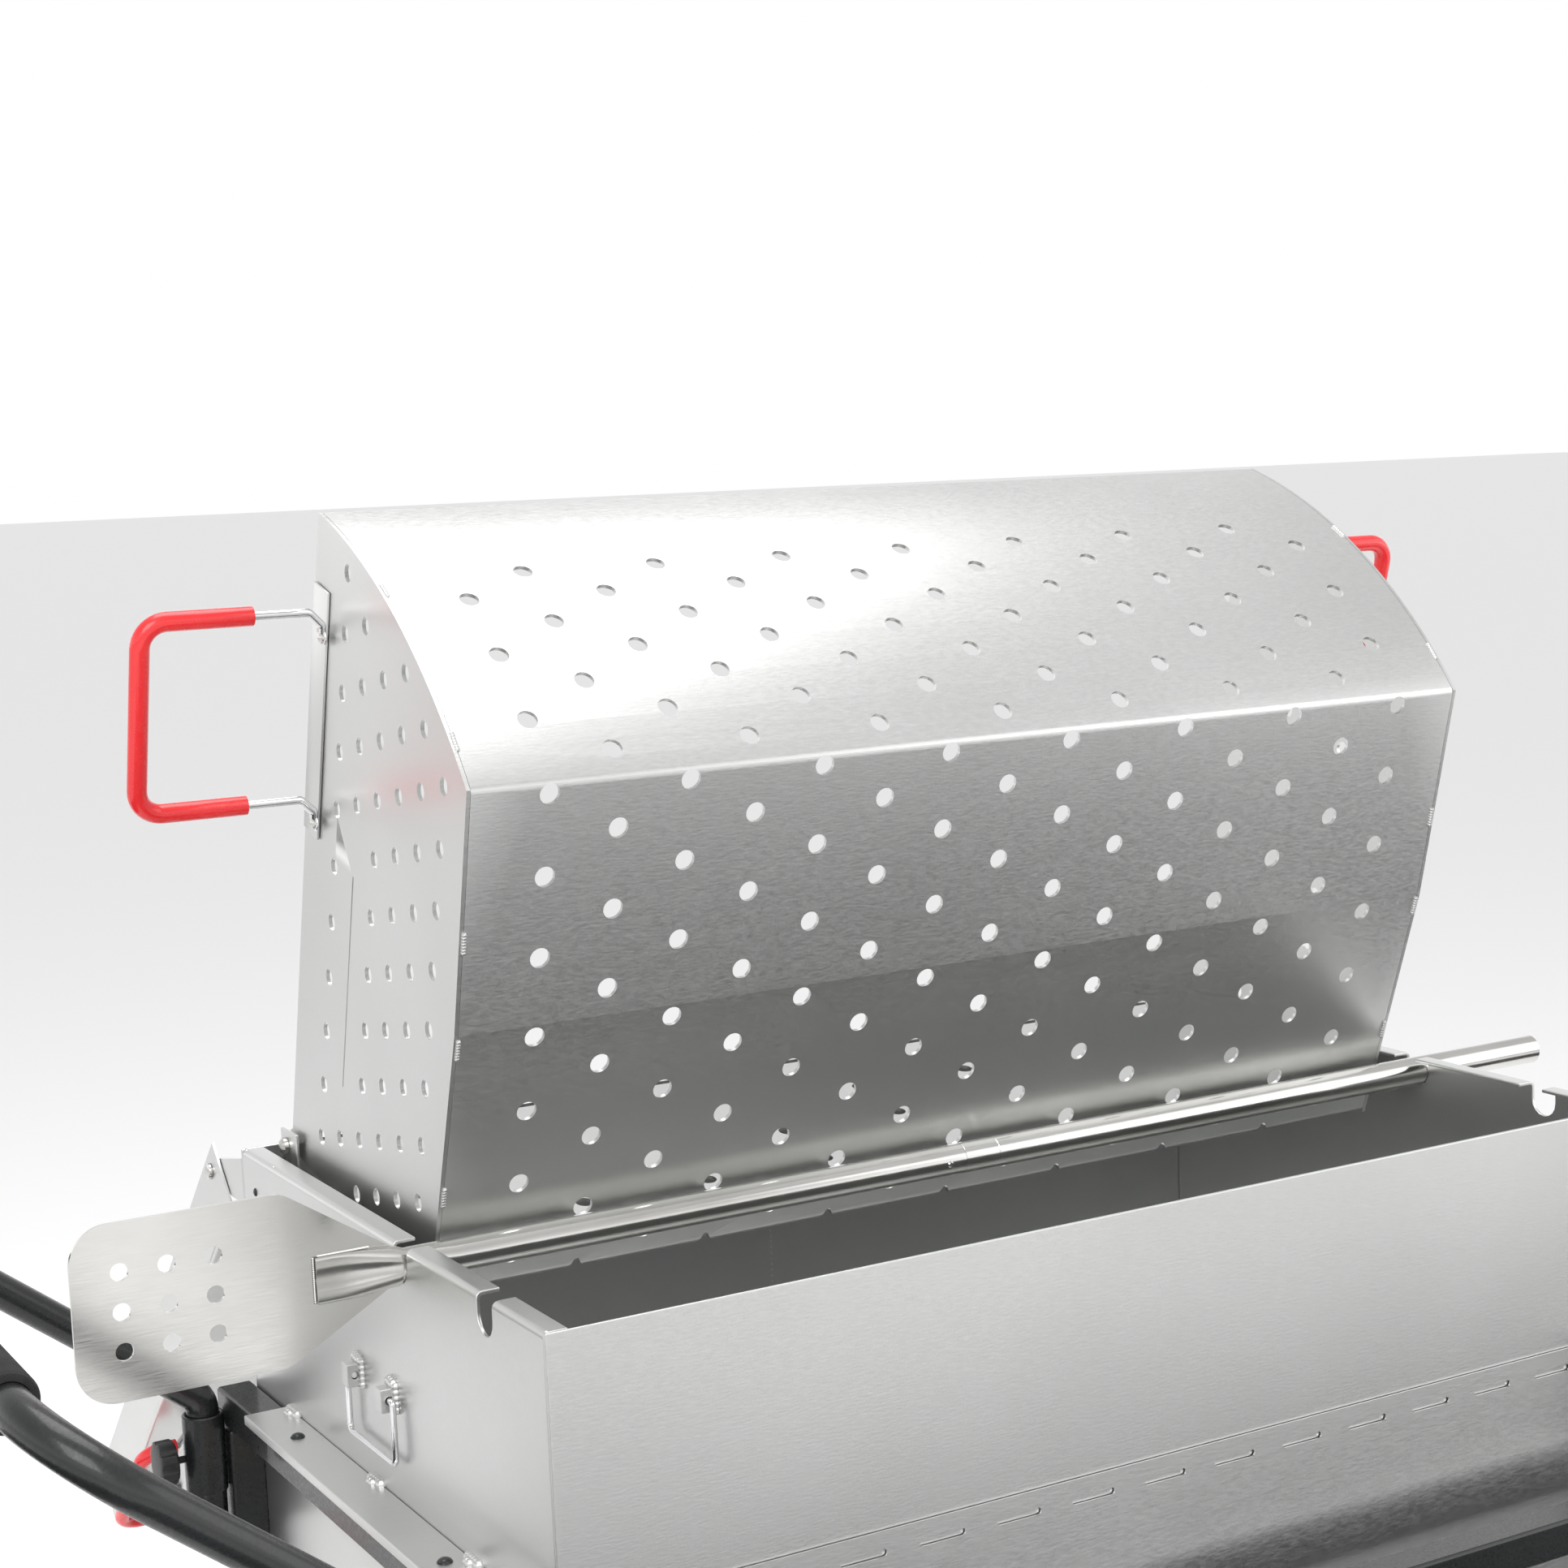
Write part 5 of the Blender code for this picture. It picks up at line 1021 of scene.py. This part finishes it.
def makeWorld():
    # a soft tent of light: bright near the horizon, greyer overhead, plain white behind the object
    world = bpy.data.worlds.new("studio")
    world.use_nodes = True
    tree = world.node_tree
    tent = tree.nodes["Background"]
    coords = tree.nodes.new("ShaderNodeTexCoord")
    split = tree.nodes.new("ShaderNodeSeparateXYZ")
    ramp = tree.nodes.new("ShaderNodeValToRGB")
    stops = ramp.color_ramp.elements
    stops[0].position, stops[0].color = 0.44, (0.30, 0.30, 0.30, 1.0)
    stops[1].position, stops[1].color = 0.50, (1.0, 1.0, 0.99, 1.0)
    for place, level in tentLevels:
        stop = stops.new(place)
        stop.color = (level, level, level, 1.0)
    shift = tree.nodes.new("ShaderNodeMapRange")
    put(shift, "From Min", -1.0)
    put(shift, "From Max", 1.0)
    tree.links.new(coords.outputs["Generated"], split.inputs["Vector"])
    tree.links.new(split.outputs["Z"], shift.inputs["Value"])
    tree.links.new(shift.outputs["Result"], ramp.inputs["Fac"])
    tree.links.new(ramp.outputs["Color"], tent.inputs["Color"])
    put(tent, "Strength", studio["strength"])
    paper = tree.nodes.new("ShaderNodeBackground")
    put(paper, "Color", (1.0, 1.0, 1.0, 1.0))
    ray = tree.nodes.new("ShaderNodeLightPath")
    choose = tree.nodes.new("ShaderNodeMixShader")
    tree.links.new(ray.outputs["Is Camera Ray"], choose.inputs["Fac"])
    tree.links.new(tent.outputs["Background"], choose.inputs[1])
    tree.links.new(paper.outputs["Background"], choose.inputs[2])
    tree.links.new(choose.outputs["Shader"], tree.nodes["World Output"].inputs["Surface"])
    bpy.context.scene.world = world


def makeFlags():
    # dark cards on the floor that only the metal sees
    card = bpy.data.materials.new("flagCard")
    card.use_nodes = True
    shader = card.node_tree.nodes["Principled BSDF"]
    put(shader, "Base Color", (*[studio["card"]] * 3, 1.0))
    put(shader, "Roughness", 1.0)
    for name, low, high in (("front_flag", (-1.2, -2.05), (2.6, -0.80)),
                            ("left_flag", (-2.1, -1.6), (-1.05, 1.2))):
        flag = primitive(name, bpy.ops.mesh.primitive_plane_add, size=1.0)
        middle = ((low[0] + high[0]) / 2, (low[1] + high[1]) / 2, studio["cardLift"])
        size = (high[0] - low[0], high[1] - low[1], 1.0, 1.0)
        flag.data.transform(Matrix.Translation(middle) @ Matrix.Diagonal(size))
        flag.data.materials.append(card)
        flag.visible_camera = False
        flag.visible_diffuse = False
        flag.visible_shadow = False


lamps = [
    dict(name="keyLamp", place=(-2.6, -3.0, 3.4), size=2.4, power=70.0),
    dict(name="fillLamp", place=(3.2, -2.4, 2.2), size=3.0, power=30.0),
    dict(name="topLamp", place=(0.2, 0.4, 4.2), size=2.6, power=60.0),
]


def makeLamps():
    for lamp in lamps:
        data = bpy.data.lights.new(lamp["name"], "AREA")
        data.size = lamp["size"]
        data.energy = lamp["power"]
        thing = linked(lamp["name"], data)
        thing.location = lamp["place"]
        aim = Vector(studio["aim"]) - Vector(lamp["place"])
        thing.rotation_euler = aim.to_track_quat("-Z", "Y").to_euler()


def makeCamera():
    data = bpy.data.cameras.new("studioCamera")
    data.lens = studio["lens"]
    camera = linked("studioCamera", data)
    camera.location = home + Vector(studio["camera"])
    camera.rotation_euler = [math.radians(angle) for angle in studio["turn"]]
    bpy.context.scene.camera = camera


makeStage()
makeWorld()
makeFlags()
makeLamps()
makeCamera()
bpy.context.scene.view_settings.view_transform = "Standard"
print("stage set")
